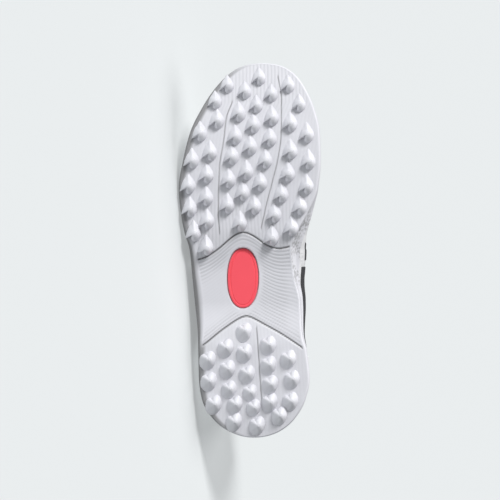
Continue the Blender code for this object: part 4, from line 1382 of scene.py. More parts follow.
@dataclass
class Inlay:
    """The coral lozenge under the midfoot, with rounded edges and a thin sunk line inside its edge."""

    form: ShoeForm
    pose: RestPose
    place: Pair = (0.425, -0.050)
    size: Pair = (0.0450, 0.0230)
    thickness: float = 0.0012
    proud: float = 0.0003
    power: float = 0.9
    sides: int = 96

    def build(self) -> Piece:
        """Build the lozenge from rings: its back, its side, its rounded edge and its face.

        Returns:
            The piece.
        """
        turn = np.linspace(0.0, 2 * math.pi, self.sides, endpoint=False)
        x = np.sign(np.cos(turn)) * np.abs(np.cos(turn)) ** self.power
        y = np.sign(np.sin(turn)) * np.abs(np.sin(turn)) ** self.power
        level = float(self.form.plate_bottom(self.place[0]))
        middle = np.array((self.form.length * self.place[0], self.form.ball_width * self.place[1]))
        rings = (
            (0.0, self.thickness), (0.0, 0.0), (0.0001, -0.6 * self.proud), (0.0004, -self.proud),
            (0.0016, -self.proud), (0.0019, 0.0), (0.0023, 0.0), (0.0026, -self.proud),
        )
        rows = []
        for inset, z in rings:
            plan = np.stack((x, y), -1) * (0.5 * np.array(self.size) - inset) + middle
            rows.append(np.concatenate((plan, np.full((self.sides, 1), level + z)), 1))
        section = np.stack(rows + [rows[0]], 1)[:, :-1]
        section = np.concatenate((section, section[:1]))
        size = len(rings)
        faces = grid_faces(self.sides + 1, size).tolist()
        faces.append([k * size for k in range(self.sides)])
        faces.append([k * size + size - 1 for k in range(self.sides)])
        return make_piece("midfoot_inlay", section.reshape(-1, 3), faces, self.pose)


def stack_faces(columns: int, rows: int, whole: bool, met: Optional[Array] = None) -> Array:
    """Faces of a closed layer made of an outer grid and, after it, an inner grid of the same size.

    Args:
        columns: Columns of each grid.
        rows: Rows of each grid.
        whole: The last column is the first one again, so the ends need no wall.
        met: Columns whose last row meets the other side's, so that no wall is wanted there.

    Returns:
        An array of quads.
    """
    size = columns * rows
    outer = grid_faces(columns, rows)
    parts = [outer, outer + size]
    column = np.arange(columns - 1)
    for row in (0, rows - 1):
        a = column * rows + row
        wall = np.stack((a, a + rows, a + rows + size, a + size), -1)
        if row and met is not None:
            wall = wall[~(met[:-1] & met[1:])]
        parts.append(wall)
    if not whole:
        row = np.arange(rows - 1)
        for first in (0, (columns - 1) * rows):
            a = first + row
            parts.append(np.stack((a, a + 1, a + 1 + size, a + size), -1))
    return np.concatenate(parts)


def running_length(points: Array, axis: int) -> Array:
    """Distance run along one axis of a grid of points, from 0."""
    run = np.cumsum(np.linalg.norm(np.diff(points, axis=axis), axis=-1), axis=axis)
    return np.concatenate((np.zeros_like(np.take(run, [0], axis=axis)), run), axis=axis)


def soft_steps(count: int, border: float) -> Array:
    """Shares from 0 to 1 that lie close together within a border at both ends."""
    ease = border * (1 - np.cos(np.linspace(0, math.pi / 2, 4)))
    return np.concatenate((ease[:-1], np.linspace(border, 1 - border, count), 1 - ease[-2::-1]))


@dataclass
class Layer:
    """A closed layer over part of the upper's surface, with softened borders."""

    form: ShoeForm
    phi: Array
    low: Array
    high: Array
    inner: float
    outer: float
    rows: int = 24
    whole: bool = False
    border: float = 0.0009
    relief: Optional[Callable[[Array, Array], Array]] = None
    depth: Optional[Callable[[Array, Array], Array]] = None

    def build(self) -> Tuple[Array, Array, Array]:
        """Work out the layer's mesh.

        Returns:
            Its points, faces and UV places in metres.
        """
        form = self.form
        phi, low, high = self.phi, self.low, self.high
        if not self.whole:
            steps = soft_steps(len(phi), 0.004)
            keys = np.linspace(0.0, 1.0, len(phi))
            phi, low, high = (np.interp(steps, keys, values) for values in (phi, low, high))
        t = low[:, None] + (high - low)[:, None] * soft_steps(self.rows, 0.03)
        base = form.surface(phi, t)
        run = running_length(base, 1)
        met = (high >= 1.0) & (form.throat_width(form.share(phi)) <= 0.0)
        top_reach = np.where(met[:, None], 1.0, run[:, -1:] - run)
        reach = np.minimum(run, top_reach)
        along = running_length(base, 0)
        if not self.whole:
            reach = np.minimum(reach, np.minimum(along, along[-1:] - along))
        near = np.clip(reach / self.border, 0.0, 1.0)
        full = 0.3 + 0.7 * np.sqrt(1 - (1 - near) ** 2)
        normal = form.normals(phi, t)
        u = np.broadcast_to(form.share(phi)[:, None], t.shape)
        outer = self.inner + (self.outer - self.inner) * full
        inner = np.full(t.shape, self.inner)
        if self.relief is not None:
            outer = outer + self.relief(u, t) * near
        if self.depth is not None:
            inner = inner - self.depth(u, t)
        points = np.stack((base + normal * outer[..., None], base + normal * inner[..., None]))
        middle = along[:, t.shape[1] // 2, None]
        place = np.stack((np.broadcast_to(middle, t.shape), run), -1)
        faces = stack_faces(len(phi), t.shape[1], self.whole, met)
        return points.reshape(-1, 3), faces, np.concatenate((place, place)).reshape(-1, 2)


def joined(name: str, parts: Sequence[Tuple[Array, Array, Array]], pose: RestPose) -> Piece:
    """Make one piece of several layers.

    Args:
        name: The piece's name.
        parts: Points, faces and UV places of each layer.
        pose: Where the shoe lies.

    Returns:
        The piece.
    """
    points, faces, places, start = [], [], [], 0
    for own_points, own_faces, own_places in parts:
        points.append(own_points)
        faces.append(own_faces + start)
        places.append(own_places)
        start += len(own_points)
    return make_piece(name, np.concatenate(points), np.concatenate(faces), pose, np.concatenate(places))


@dataclass
class Upper:
    """The soft upper: its knitted shell, its lining, its overlays and the footbed."""

    form: ShoeForm
    pose: RestPose
    half: int = 200
    shell: float = 0.0012
    wall: float = 0.0020
    gap: float = 0.0005
    overlay: float = 0.0012
    film: float = 0.0005
    collar_pad: float = 0.0034
    collar_until: Pair = (0.345, 0.395)
    eyestay_span: Pair = (0.375, 0.745)
    eyestay_low: float = 0.76
    counter_front: float = 0.215
    counter_high: Pair = (0.66, 0.44)
    counter_lift: float = 0.0009
    quarter_rear: Pair = (0.225, 0.452)
    quarter_front: Pair = (0.470, 0.535)
    quarter_high: float = 0.70
    sliver: Pair = (0.0030, 0.0009)
    guard_from: float = 0.80
    guard_high: float = 0.46
    creases: Tuple[Tuple[float, float, float, float], ...] = (
        (0.712, 0.05, 0.0040, 0.00055), (0.765, 0.02, 0.0050, 0.00045), (0.665, 0.10, 0.0035, 0.00035),
    )

    def span(self, start: float, end: float, side: Side, count: int = 60) -> Array:
        """Angles between two shares of the length on one side, rising."""
        ends = self.form.phi(np.array((start, end)), side)
        return np.linspace(ends.min(), ends.max(), count)

    def folds(self, u: Array, t: Array) -> Array:
        """Soft troughs across the vamp where the shoe bends, each with a low ridge behind it.

        Args:
            u: Shares of the length.
            t: Shares up each rib.

        Returns:
            How far the shell is raised at each place.
        """
        total = np.zeros(t.shape)
        for at, slant, width, depth in self.creases:
            off = (u - at + slant * (1 - t)) * self.form.length
            trough = np.exp(-((off / width) ** 2))
            ridge = 0.5 * np.exp(-(((off + 2.2 * width) / (1.4 * width)) ** 2))
            total += depth * (ridge - trough) * blend(0.40, 0.72, t)
        return total

    def build_shell(self) -> Piece:
        """Build the knitted shell.

        Returns:
            The piece.
        """
        phi = self.form.loop(self.half)
        ends = np.zeros(len(phi)), np.ones(len(phi))
        layer = Layer(self.form, phi, *ends, -self.shell, 0.0, 46, True, relief=self.folds)
        return joined("upper_shell", [layer.build()], self.pose)

    def padding(self, u: Array, t: Array) -> Array:
        """Extra thickness of the lining round the collar."""
        roll = np.sqrt(np.clip(1 - ((t - 0.86) / 0.135) ** 2, 0.0, 1.0))
        return self.collar_pad * roll * (1 - blend(*self.collar_until, u))

    def build_lining(self) -> Piece:
        """Build the lining with its padded collar.

        Returns:
            The piece.
        """
        phi = self.form.loop(self.half)
        low, high = np.full(len(phi), 0.02), np.full(len(phi), 0.995)
        spine = self.form.throat_width(self.form.share(phi)) <= 0.0
        high = np.where(spine, 1.0, high)
        outer = -self.shell - 0.00005
        layer = Layer(self.form, phi, low, high, -self.wall, outer, 40, True, depth=self.padding)
        return joined("inner_lining", [layer.build()], self.pose)

    def build_eyestay(self) -> Piece:
        """Build the band that carries the eyelets, in two halves that meet on the vamp.

        Returns:
            The piece.
        """
        parts = []
        for side in Side:
            phi = self.span(*self.eyestay_span, side, 110)
            low = np.full(len(phi), self.eyestay_low)
            low = low + 0.05 * (1 - blend(self.eyestay_span[0], 0.43, self.form.share(phi)))
            high = np.ones(len(phi))
            layer = Layer(self.form, phi, low, high, self.gap * 0.2, self.gap + self.overlay, 16)
            parts.append(layer.build())
        return joined("eyelet_band", parts, self.pose)

    def build_counter(self) -> Piece:
        """Build the moulded heel overlay, with one soft ledge round it.

        Returns:
            The piece.
        """
        reach = float(angle_of(np.array(self.counter_front)))
        phi = np.linspace(-reach, reach, 150)
        u = self.form.share(phi)
        low = self.form.share_at(phi, self.form.rim_top(u) + self.counter_lift)
        top, front = self.counter_high
        high = top + (front - top) * (u / self.counter_front) ** 2

        def ledge(at_u: Array, t: Array) -> Array:
            """Step of the overlay's face over a curved line."""
            line = 0.40 - 0.10 * (at_u / self.counter_front) ** 2
            return 0.0004 * blend(0.0, 0.02, t - line) - 0.0002

        layer = Layer(self.form, phi, low, high, self.gap * 0.2, self.gap + self.overlay, 26, relief=ledge)
        return joined("heel_overlay", [layer.build()], self.pose)

    def flank(self, phi: Array, below: Array) -> Array:
        """Share t on the lower flank where the upper reaches out less far than it can by a given distance.

        Args:
            phi: Angles.
            below: How much less far it reaches out there.

        Returns:
            One share for each angle.
        """
        t = np.linspace(0.0, 0.8, 161)
        points = self.form.surface(phi, np.broadcast_to(t, (len(phi), len(t))))
        out = np.sum(points[..., :2] * self.form.edge_normal(phi)[:, None], -1)
        widest = out.argmax(1)
        found = np.empty(len(phi))
        for i, k in enumerate(widest):
            found[i] = np.interp(out[i, k] - below[i], out[i, : k + 1], t[: k + 1]) if k else 0.0
        return found

    def build_quarters(self) -> Piece:
        """Build the charcoal panels over both quarters, parted by a slanting strip of the shell.

        Returns:
            The piece.
        """
        parts = []
        for side in Side:
            for (start, end), sliver in zip((self.quarter_rear, self.quarter_front), self.sliver):
                phi = self.span(start, end, side, 80)
                low = self.flank(phi, np.full(len(phi), sliver))
                share = np.abs(phi - phi[0]) / (phi[-1] - phi[0])
                share = share if side is Side.MEDIAL else 1 - share
                high = np.full(len(phi), self.quarter_high)
                high = low + (high - low) * np.clip(1.2 * np.sqrt(np.clip(share, 0.02, 1.0)), 0.1, 1.0)
                layer = Layer(self.form, phi, low, high, -0.0002, self.film, 20, border=0.0006)
                parts.append(layer.build())
        return joined("quarter_panels", parts, self.pose)

    def build_guard(self) -> Piece:
        """Build the thin film round the toe.

        Returns:
            The piece.
        """
        reach = math.pi - float(angle_of(np.array(self.guard_from)))
        phi = np.linspace(math.pi - reach, math.pi + reach, 150)
        low = self.form.share_at(phi, self.form.rim_top(self.form.share(phi)) - 0.001)
        ease = np.abs(phi - math.pi) / reach
        high = low + (self.guard_high - low) * (1 - 0.75 * ease ** 2.5)
        layer = Layer(self.form, phi, low, high, -0.0002, self.film, 20, border=0.0007)
        return joined("toe_guard", [layer.build()], self.pose)

    def build_footbed(self) -> Piece:
        """Build the footbed, a little cupped at its edge.

        Returns:
            The piece.
        """
        form = self.form
        phi = form.loop(160)
        u = form.share(phi)
        low = form.floor_top(u) + form.clearance
        margin = self.wall + 2 * form.clearance
        foot = form.level_lift(phi, np.zeros(len(phi)), -margin)[:, :2]
        normal = form.edge_normal(phi)
        rings = (
            (0.0, 0.0), (0.0, 0.0034), (0.0003, 0.0040), (0.0010, 0.0043), (0.0040, 0.0040),
            (0.0090, 0.0036),
        )
        rows = [np.concatenate((foot - normal * inset, (low + lift)[:, None]), 1) for inset, lift in rings]
        section = np.stack(rows, 1)
        points, faces = [section.reshape(-1, 3)], [grid_faces(len(phi), len(rings))]
        share = np.linspace(0.0, 1.0, 24)[None, :, None]
        for ring in (rows[0], rows[-1]):
            medial, lateral = ring[:161][:, None], ring[160:][::-1][:, None]
            sheet = lateral + (medial - lateral) * share
            faces.append(grid_faces(sheet.shape[0], sheet.shape[1]) + sum(len(p) for p in points))
            points.append(sheet.reshape(-1, 3))
        places = np.concatenate(points)[:, :2]
        return make_piece("footbed", np.concatenate(points), np.concatenate(faces), self.pose, places)

    def eyelets(self) -> List[Eyelet]:
        """Places of the eyelets from the collar to the toe, both sides of each pair."""
        return [(u, side) for u in EYELET_SHARES for side in Side]

    def at(self, places: Sequence[Tuple[float, Side, float, float]]) -> List[Tuple[Array, Array]]:
        """Points off the upper and the outward directions there.

        Args:
            places: For each, a share of the length, a side, a share t and a height.

        Returns:
            A point and a direction for each place.
        """
        phi = np.array([float(self.form.phi(np.array(u), side)) for u, side, _, _ in places])
        t = np.array([[share] for _, _, share, _ in places])
        height = np.array([[lift] for _, _, _, lift in places])
        normals = self.form.normals(phi, t)[:, 0]
        return list(zip(self.form.surface(phi, t)[:, 0] + normals * height, normals))


@dataclass
class Tongue:
    """The padded tongue: under the throat's edges in front, free and curving up above the collar."""

    form: ShoeForm
    pose: RestPose
    front: float = 0.740
    back: float = 0.415
    t_front: float = 0.78
    t_back: float = 0.90
    under: float = 0.0029
    thickness: float = 0.0042
    rise: float = 0.0200
    sink: float = 0.0010
    opening: Pair = (0.10, 0.24)
    top: Tuple[Tuple[float, ...], ...] = (
        (0.0, 0.0, 1.0, 1.0), (0.30, 0.22, 1.00, 0.90), (0.62, 0.52, 1.14, 0.75), (0.86, 0.82, 1.20, 0.66),
        (0.97, 1.00, 1.02, 0.60),
    )
    across: int = 48
    quilt: float = 0.0007
    quilt_pitch: float = 0.0105

    def rows(self, u: Array) -> List[Array]:
        """Sections of the tongue's outer face.

        Args:
            u: Shares of the length, one for each section.

        Returns:
            One even line of points for each share.
        """
        part = (u - self.back) / (self.front - self.back)
        start = self.t_back + (self.t_front - self.t_back) * part
        t = start[:, None] + (1 - start)[:, None] * np.linspace(0.0, 1.0, 7)
        angles = [self.form.phi(u, side) for side in Side]
        lateral, medial = (self.form.lifted(phi, t, -self.under) for phi in angles)
        tops = sum(self.form.surface(phi, np.ones((len(u), 1)))[:, 0, 2] for phi in angles) / 2
        gap = np.linalg.norm(medial[:, -1] - lateral[:, -1], axis=-1) / self.form.ball_width
        crown = (lateral[:, -1] + medial[:, -1]) / 2
        crown[:, 2] += (tops - self.sink - crown[:, 2]) * blend(*self.opening, gap)
        lines = []
        for points in np.concatenate((lateral, crown[:, None], medial[:, ::-1]), 1):
            run = running_length(points, 0)
            even = np.linspace(0.0, run[-1], self.across + 1)
            lines.append(np.stack([smooth(run, points[:, k], even) for k in range(3)], -1))
        return lines

    def build(self) -> Piece:
        """Build the tongue with its quilted channels.

        Returns:
            The piece.
        """
        rows = self.rows(np.linspace(self.front, self.back, 80))
        last = rows[-1]
        crown = last[self.across // 2]
        keys = np.linspace(0.0, 1.0, len(self.top))
        table = np.array(self.top).T
        for s in np.linspace(0.0, 1.0, 25)[1:]:
            back, up, width, arch = (smooth(keys, column, np.array(s)) for column in table)
            centre = crown + np.array((-back, 0.0, up)) * self.rise
            rows.append(centre + (last - crown) * np.array((arch, width, arch)))
        grid = np.stack(rows)
        grid[1:-1] = (grid[:-2] + 2 * grid[1:-1] + grid[2:]) / 4
        normal = unit(np.cross(np.gradient(grid, axis=1), np.gradient(grid, axis=0)))
        normal *= np.sign(normal[len(rows) // 2, self.across // 2, 2])
        along, over = running_length(grid, 0), running_length(grid, 1)
        reach = np.minimum(np.minimum(along, along[-1:] - along), np.minimum(over, over[:, -1:] - over))
        full = np.sqrt(1 - (1 - np.clip(reach / (0.5 * self.thickness), 0.0, 1.0)) ** 2)
        middle = along[:, self.across // 2, None]
        wave = np.abs(np.sin(math.pi * middle / self.quilt_pitch)) ** 0.6
        free = blend(0.06, 0.085, middle)
        swell = self.quilt * (wave - 1) * free * full
        centre = grid - normal * (0.5 * self.thickness)
        half = 0.5 * self.thickness * (0.25 + 0.75 * full)
        outer, inner = centre + normal * (half + swell)[..., None], centre - normal * half[..., None]
        points = np.concatenate((outer.reshape(-1, 3), inner.reshape(-1, 3)))
        place = np.stack((np.broadcast_to(middle, over.shape), over), -1).reshape(-1, 2)
        faces = stack_faces(grid.shape[0], grid.shape[1], False)
        return make_piece("padded_tongue", points, faces, self.pose, np.concatenate((place, place)))


@dataclass
class Lace:
    """The flat lace: one straight bar in front, then crossings that dive into the eyelets on both sides."""

    upper: Upper
    width: float = 0.0056
    thickness: float = 0.0014
    gap: float = 0.0009
    edge_lift: float = 1.30
    lean: float = 0.22
    bow: float = 0.05
    crossing: float = 0.0013
    steps: int = 72
    sides: int = 14

    def bar(self, start: Eyelet, end: Eyelet, over: float) -> Tuple[Array, Array, Array]:
        """One bar from an eyelet on one side to one on the other.

        Args:
            start: The first eyelet.
            end: The other eyelet.
            over: How much the bar's middle rises over the bar that it crosses.

        Returns:
            Its points, faces and UV places.
        """
        upper = self.upper
        height = upper.gap + upper.overlay + self.gap + 0.5 * self.thickness
        points, normals, widths = [], [], []
        for (u, side), other in ((start, end), (end, start)):
            near = u + (other[0] - u) * self.lean
            hole = [(u, side, EYELET_T, depth) for depth in (-0.0016, 0.0006)]
            rest = [(u + (near - u) * 0.45, side, EYELET_T + 0.035, height), (near, side, 1.0, 0.0)]
            side_points = upper.at(hole + rest)
            point, normal = side_points.pop()
            way = unit(normal + (0.0, 0.0, 1.0))
            side_points.append((point + way * height * self.edge_lift, way))
            side_widths = [0.5, 0.55, 0.9, 1.0]
            if points:
                side_points.reverse()
                side_widths.reverse()
            points += [p for p, _ in side_points]
            normals += [n for _, n in side_points]
            widths += side_widths
        middle = (points[3] + points[4]) / 2
        rise = self.bow * np.linalg.norm(points[4] - points[3]) + over
        points.insert(4, middle + np.array((0.0, 0.0, rise)))
        normals.insert(4, unit(normals[3] + normals[4]))
        widths.insert(4, 1.0)
        line = np.array(points)
        keys = running_length(line, 0)
        keys = keys / keys[-1]
        s = np.linspace(0.0, 1.0, self.steps)
        path = self.spline(keys, line, s)
        way = self.spline(keys, np.array(normals), s)
        wide = np.interp(s, keys, widths)
        along = unit(np.gradient(path, axis=0))
        across = unit(np.cross(way, along))
        up = np.cross(along, across)
        turn = np.linspace(0.0, 2 * math.pi, self.sides + 1)
        flat = np.sign(np.cos(turn)) * np.abs(np.cos(turn)) ** 0.55
        lift = np.sign(np.sin(turn)) * np.abs(np.sin(turn)) ** 0.75
        rings = (
            path[:, None]
            + across[:, None] * (0.5 * self.width * wide[:, None] * flat)[..., None]
            + up[:, None] * (0.5 * self.thickness * (1.5 - 0.5 * wide)[:, None] * lift)[..., None]
        )
        size = self.sides + 1
        faces = grid_faces(self.steps, size).tolist()
        run = np.broadcast_to(running_length(path, 0)[:, None], (self.steps, size))
        place = np.stack((run, np.broadcast_to(turn / (2 * math.pi) * 2 * self.width, run.shape)), -1)
        ends = np.stack((rings[0].mean(0), rings[-1].mean(0)))
        points = np.concatenate((rings.reshape(-1, 3), ends))
        last = self.steps * size
        caps = [[k, k + 1, k + 2, last] for k in range(0, self.sides, 2)]
        caps += [[last - size + k + j for j in range(3)] + [last + 1] for k in range(0, self.sides, 2)]
        places = np.concatenate((place.reshape(-1, 2), place.reshape(-1, 2)[[0, -1]]))
        return points, np.array(faces + caps), places

    def spline(self, keys: Array, values: Array, at: Array) -> Array:
        """Smooth curve through points of any number of columns.

        Args:
            keys: Rising keys of the points.
            values: The points.
            at: Where the curve is read.

        Returns:
            A point for each place.
        """
        slope = np.gradient(values, keys, axis=0)
        i = np.clip(np.searchsorted(keys, at, side="right") - 1, 0, len(keys) - 2)
        step = (keys[i + 1] - keys[i])[:, None]
        t = ((at - keys[i]) / step[:, 0])[:, None]
        low = (1 + 2 * t) * (1 - t) ** 2 * values[i] + t * (1 - t) ** 2 * step * slope[i]
        return low + t * t * (3 - 2 * t) * values[i + 1] + t * t * (t - 1) * step * slope[i + 1]

    def build(self) -> Piece:
        """Build all the bars as one piece.

        Returns:
            The piece.
        """
        lateral, medial = Side
        parts = [self.bar((EYELET_SHARES[-1], lateral), (EYELET_SHARES[-1], medial), 0.0)]
        for near, far in zip(EYELET_SHARES[:-1], EYELET_SHARES[1:]):
            parts.append(self.bar((near, lateral), (far, medial), 0.0))
            parts.append(self.bar((near, medial), (far, lateral), self.crossing))
        return joined("crossed_lace", parts, self.upper.pose)


@dataclass
class Trim:
    """Small repeated parts on the upper: stitches, eyelet rings, their holes and the vamp's perforations."""

    upper: Upper
    pose: RestPose
    stitch_pitch: float = 0.0031
    stitch_length: float = 0.0022
    stitch_radius: float = 0.00028
    ring_radius: float = 0.0026
    ring_tube: float = 0.0006
    hole_radius: float = 0.0022
    dot_radius: float = 0.0006
    plug_depth: float = 0.0006

    def line(self, phi: Array, t: Array, height: float) -> Array:
        """Points of a seam line in the shoe's frame."""
        return self.upper.form.lifted(phi, t[:, None], height)[:, 0]

    def seams(self) -> List[Array]:
        """Lines of the seams: along the eyelet band, round the collar and round the heel overlay.

        Returns:
            An array of points for each line.
        """
        upper = self.upper
        form = upper.form
        lines = []
        top = upper.gap + upper.overlay + 0.00005
        for side in Side:
            phi = upper.span(upper.eyestay_span[0] + 0.012, upper.eyestay_span[1] - 0.006, side, 120)
            low = upper.eyestay_low + 0.05 * (1 - blend(upper.eyestay_span[0], 0.43, form.share(phi)))
            for share in (0.014, 0.030):
                lines.append(self.line(phi, low + share, top))
            collar = upper.span(0.02, 0.372, side, 120)
            lines.append(self.line(collar, np.full(len(collar), 0.955), 0.00005))
        reach = float(angle_of(np.array(upper.counter_front - 0.008)))
        phi = np.linspace(-reach, reach, 160)
        high, front = upper.counter_high
        u = form.share(phi)
        high = high + (front - high) * (u / upper.counter_front) ** 2
        lines.append(self.line(phi, high - 0.03, top + 0.0002))
        return lines

    def capsule(self, name: str) -> Piece:
        """One stitch: a short thread with round ends, along x.

        Args:
            name: The shape's name.

        Returns:
            The shape.
        """
        work = bmesh.new()
        bmesh.ops.create_uvsphere(work, u_segments=8, v_segments=6, radius=self.stitch_radius)
        bmesh.ops.rotate(work, verts=work.verts, matrix=Matrix.Rotation(math.pi / 2, 3, "Y"))
        shift = 0.5 * self.stitch_length - self.stitch_radius
        for vert in work.verts:
            vert.co.x += math.copysign(shift, vert.co.x) if abs(vert.co.x) > MERGE else 0.0
        return self.keep(work, name)

    def ring(self, name: str) -> Piece:
        """One eyelet ring round the z axis."""
        return self.turned(name, [
            (self.ring_radius + self.ring_tube * math.cos(a), 0.8 * self.ring_tube * math.sin(a))
            for a in np.linspace(0.0, 2 * math.pi, 13)
        ], 28)

    def plug(self, name: str, radius: float, lift: float) -> Piece:
        """A shallow dished plug that closes a hole."""
        dish = [(0.0, lift * 0.4), (radius * 0.7, lift * 0.6), (radius, lift)]
        return self.turned(name, dish + [(radius, -self.plug_depth), (0.0, -self.plug_depth)], 18)

    def turned(self, name: str, profile: Sequence[Pair], sides: int) -> Piece:
        """A shape turned round the z axis from radii and heights.

        Args:
            name: The shape's name.
            profile: Radii and heights.
            sides: Steps in a turn.

        Returns:
            The shape.
        """
        angle = np.linspace(0.0, 2 * math.pi, sides, endpoint=False)
        work = bmesh.new()
        around = [(math.cos(a), math.sin(a)) for a in angle]
        rings = [[work.verts.new((r * x, r * y, z)) for x, y in around] for r, z in profile]
        for low, high in zip(rings[:-1], rings[1:]):
            for k in range(sides):
                j = (k + 1) % sides
                work.faces.new((low[k], low[j], high[j], high[k]))
        bmesh.ops.remove_doubles(work, verts=work.verts, dist=MERGE)
        bmesh.ops.recalc_face_normals(work, faces=work.faces)
        return self.keep(work, name)

    def keep(self, work: bmesh.types.BMesh, name: str) -> Piece:
        """Turn a working mesh into an object.

        Args:
            work: The working mesh, which is used up.
            name: The shape's name.

        Returns:
            The shape.
        """
        mesh = bpy.data.meshes.new(name)
        work.to_mesh(mesh)
        work.free()
        mesh.shade_smooth()
        return placed(name, mesh)

    def build_stitches(self, tree: Tree, finish: Material) -> Piece:
        """Sew all the seams.

        Args:
            tree: The stitch tree.
            finish: The thread.

        Returns:
            The piece.
        """
        points, edges = [], []
        for line in self.seams():
            start = len(points)
            points += [self.pose.matrix @ Vector(point) for point in line]
            edges += [(start + k, start + k + 1) for k in range(len(line) - 1)]
        mesh = bpy.data.meshes.new("seam_stitches")
        mesh.from_pydata(points, edges, [])
        values = {"Shape": self.capsule("stitch"), "Pitch": self.stitch_pitch, "Material": finish}
        return run_tree(placed("seam_stitches", mesh), tree, values)

    def scatter(
        self, name: str, shape: Piece, places: Sequence[Tuple[Array, Array]],
        tree: Tree, finish: Material,
    ) -> Piece:
        """Place a shape at points of the upper, its z axis outwards.

        Args:
            name: The piece's name.
            shape: The shape, which is used up.
            places: Points and outward directions in the shoe's frame.
            tree: The scatter tree.
            finish: The piece's material.

        Returns:
            The piece.
        """
        turn = self.pose.turn()
        points = [self.pose.matrix @ Vector(point) for point, _ in places]
        turns = [(turn @ Vector(way)).to_track_quat("Z", "Y").to_euler() for _, way in places]
        item = cloud(name, points, turns, [1.0] * len(points))
        return run_tree(item, tree, {"Shape": shape, "Size": 1.0, "Material": finish})

    def eyelet_places(self) -> List[Tuple[Array, Array]]:
        """Places of the eyelets on the band's outer face."""
        upper = self.upper
        return upper.at([(u, side, EYELET_T, upper.gap + upper.overlay) for u, side in upper.eyelets()])

    def dot_places(self) -> List[Tuple[Array, Array]]:
        """Places of the vamp's perforations, in rows that curve round the toe.

        Returns:
            Their points and outward directions.
        """
        places = []
        for row, t in enumerate((0.66, 0.74, 0.82, 0.90, 0.97)):
            for side in Side:
                for k in range(5 + row):
                    u = 0.790 + 0.013 * k + 0.0065 * (row % 2)
                    places.append((u, side, t, 0.0))
        return self.upper.at(places)


def cloud(
    name: str, points: Sequence[Vector], turns: Sequence[Any], sizes: Sequence[float]
) -> Piece:
    """Points that carry a turn and a size for the scatter tree.

    Args:
        name: The object's name.
        points: Where they are.
        turns: Euler turns.
        sizes: Sizes.

    Returns:
        The object.
    """
    mesh = bpy.data.meshes.new(name)
    mesh.from_pydata(points, [], [])
    mesh.attributes.new("turn", "FLOAT_VECTOR", "POINT").data.foreach_set("vector", np.array(turns).ravel())
    mesh.attributes.new("size", "FLOAT", "POINT").data.foreach_set("value", sizes)
    return placed(name, mesh)


@dataclass(frozen=True)
class Studio:
    """Floor, light and the camera that looks straight at the sole."""

    form: ShoeForm
    pose: RestPose
    distance: float = 1.80
    view_width: float = 0.3776
    sensor: float = 36.0
    centre: Tuple[float, float, float] = (0.1424, 0.0, 0.0030)
    floor_size: float = 12.0
    floor_colour: Colour = (0.722, 0.744, 0.748)
    # floor_glow: the share of the floor's brightness that is painted light, glowing by itself
    floor_glow: float = 0.40
    floor_light: Colour = (0.823, 0.855, 0.863)
    world_colour: Colour = (0.93, 0.96, 1.0)
    world_strength: float = 0.17
    key_way: Tuple[float, float, float] = (-0.68, -0.40, 0.62)
    key: float = 3.2
    top_way: Tuple[float, float, float] = (-0.10, 0.30, 0.95)
    top: float = 1.15

    def camera(self) -> None:
        """Place the camera along the sole's own normal, with the toe up in the picture."""
        data = bpy.data.cameras.new("camera")
        data.sensor_width = self.sensor
        data.lens = self.sensor * self.distance / self.view_width
        item = placed("camera", data)
        target = self.pose.matrix @ Vector(self.centre)
        toe, medial, up = self.pose.turn().transposed()
        turn = Matrix((medial, toe, -up)).transposed().to_4x4()
        item.matrix_world = Matrix.Translation(target - up * self.distance) @ turn
        bpy.context.scene.camera = item

    def lamp(self, name: str, way: Sequence[float], spread: float, strength: float) -> None:
        """Add an even, soft light from one direction.

        Args:
            name: The lamp's name.
            way: Direction from the shoe to the lamp.
            spread: How wide the lamp looks, in degrees.
            strength: Its strength.
        """
        data = bpy.data.lights.new(name, "SUN")
        data.angle = math.radians(spread)
        data.energy = strength
        item = placed(name, data)
        item.matrix_world = Vector(way).to_track_quat("Z", "Y").to_matrix().to_4x4()

    def floor(self) -> None:
        """Lay a plain pale floor that glows a little by itself: painted light that keeps shadows pale."""
        half = 0.5 * self.floor_size
        mesh = bpy.data.meshes.new("floor")
        corners = [(-half, -half, 0.0), (half, -half, 0.0), (half, half, 0.0), (-half, half, 0.0)]
        mesh.from_pydata(corners, [], [(0, 1, 2, 3)])
        made = bpy.data.materials.new("pale_floor")
        made.use_nodes = True
        shader = made.node_tree.nodes["Principled BSDF"]
        # Painted light: the floor glows with part of its brightness, and its own colour is dimmed to match,
        # so shadows on and near it stay pale
        dimmed = [(1 - self.floor_glow) * level for level in self.floor_colour]
        shader.inputs["Base Color"].default_value = (*dimmed, 1.0)
        shader.inputs["Emission Color"].default_value = (*self.floor_light, 1.0)
        shader.inputs["Emission Strength"].default_value = self.floor_glow
        shader.inputs["Roughness"].default_value = 1.0
        shader.inputs["Specular IOR Level"].default_value = 0.0
        mesh.materials.append(made)
        placed("floor", mesh)

    def build(self) -> None:
        """Set up floor, world, lamps and camera."""
        self.floor()
        world = bpy.data.worlds.new("studio")
        world.use_nodes = True
        back = world.node_tree.nodes["Background"]
        back.inputs["Color"].default_value = (*self.world_colour, 1.0)
        back.inputs["Strength"].default_value = self.world_strength
        bpy.context.scene.world = world
        self.lamp("key", self.key_way, 20.0, self.key)
        self.lamp("top", self.top_way, 40.0, self.top)
        bpy.context.scene.view_settings.view_transform = "Standard"
        self.camera()


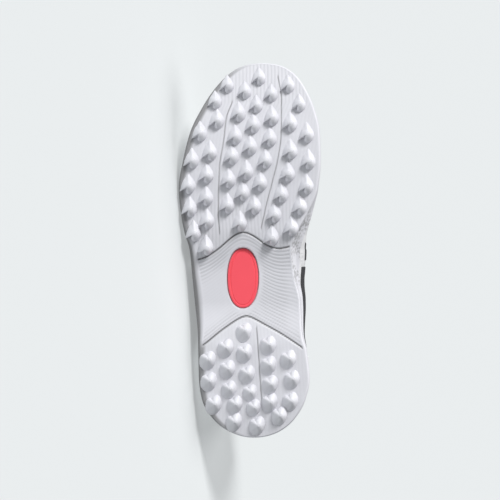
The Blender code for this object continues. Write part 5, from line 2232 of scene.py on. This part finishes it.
def main() -> None:
    """Build the shoe's pieces in order, dress them and set the scene."""
    logging.basicConfig(level=logging.INFO, format="%(name)s: %(message)s")
    form = ShoeForm()
    pose = RestPose.from_frame(form, frame["record"], SoleCup.inlay_place, Inlay.proud)
    effects = Effects()
    rubber = RUBBER.material(effects)
    scattered, sewn = scatter_tree(), stitch_tree()
    dress(SoleCup(form, pose).build(), rubber, ["outsole"])
    pointed = Stud("forefoot_stud", STUD_OUTLINE, STUD_POWERS)
    rounded = Stud("heel_stud", HEEL_OUTLINE, HEEL_POWERS, crest=(-0.18, 0.20), tip=0.15)
    fields = ("forefoot_studs", pointed, FOREFOOT_STUDS, 1), ("heel_studs", rounded, HEEL_STUDS, -1)
    for name, stud, places, heading in fields:
        studs = StudField(form, pose, name, stud, places, heading).build(scattered, rubber)
        dress(studs, rubber, ["outsole"])
    dress(Inlay(form, pose).build(), CORAL.material(effects), ["sole_inlay"])

    upper = Upper(form, pose)
    knit, film, charcoal = (finish.material(effects) for finish in (KNIT, FILM, CHARCOAL))
    lining, cord, thread = (finish.material(effects) for finish in (LINING, LACE, THREAD))
    dress(upper.build_shell(), knit, ["upper"])
    padding = upper.build_lining()
    dress(padding, lining, ["upper"])
    dress(upper.build_eyestay(), film, ["eyestay"])
    dress(upper.build_counter(), film, ["heel_counter"])
    dress(upper.build_quarters(), charcoal)
    dress(upper.build_guard(), film)
    dress(upper.build_footbed(), lining, ["insole"])
    tongue = Tongue(form, pose).build()
    dress(tongue, TONGUE_CLOTH.material(effects), ["tongue"])
    dress(Lace(upper).build(), cord, ["lace"])

    trim = Trim(upper, pose)
    dress(trim.build_stitches(sewn, thread), thread)
    rings = trim.scatter("eyelet_rings", trim.ring("ring"), trim.eyelet_places(), scattered, film)
    dress(rings, film)
    plugs = trim.plug("plug", trim.hole_radius, 0.0001)
    holes = trim.scatter("eyelet_holes", plugs, trim.eyelet_places(), scattered, lining)
    dress(holes, lining)
    dots = trim.plug("dot", trim.dot_radius, 0.00008)
    perforations = trim.scatter("vamp_perforations", dots, trim.dot_places(), scattered, lining)
    dress(perforations, lining)
    Studio(form, pose).build()


if __name__ == "__main__":
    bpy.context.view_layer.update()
    main()
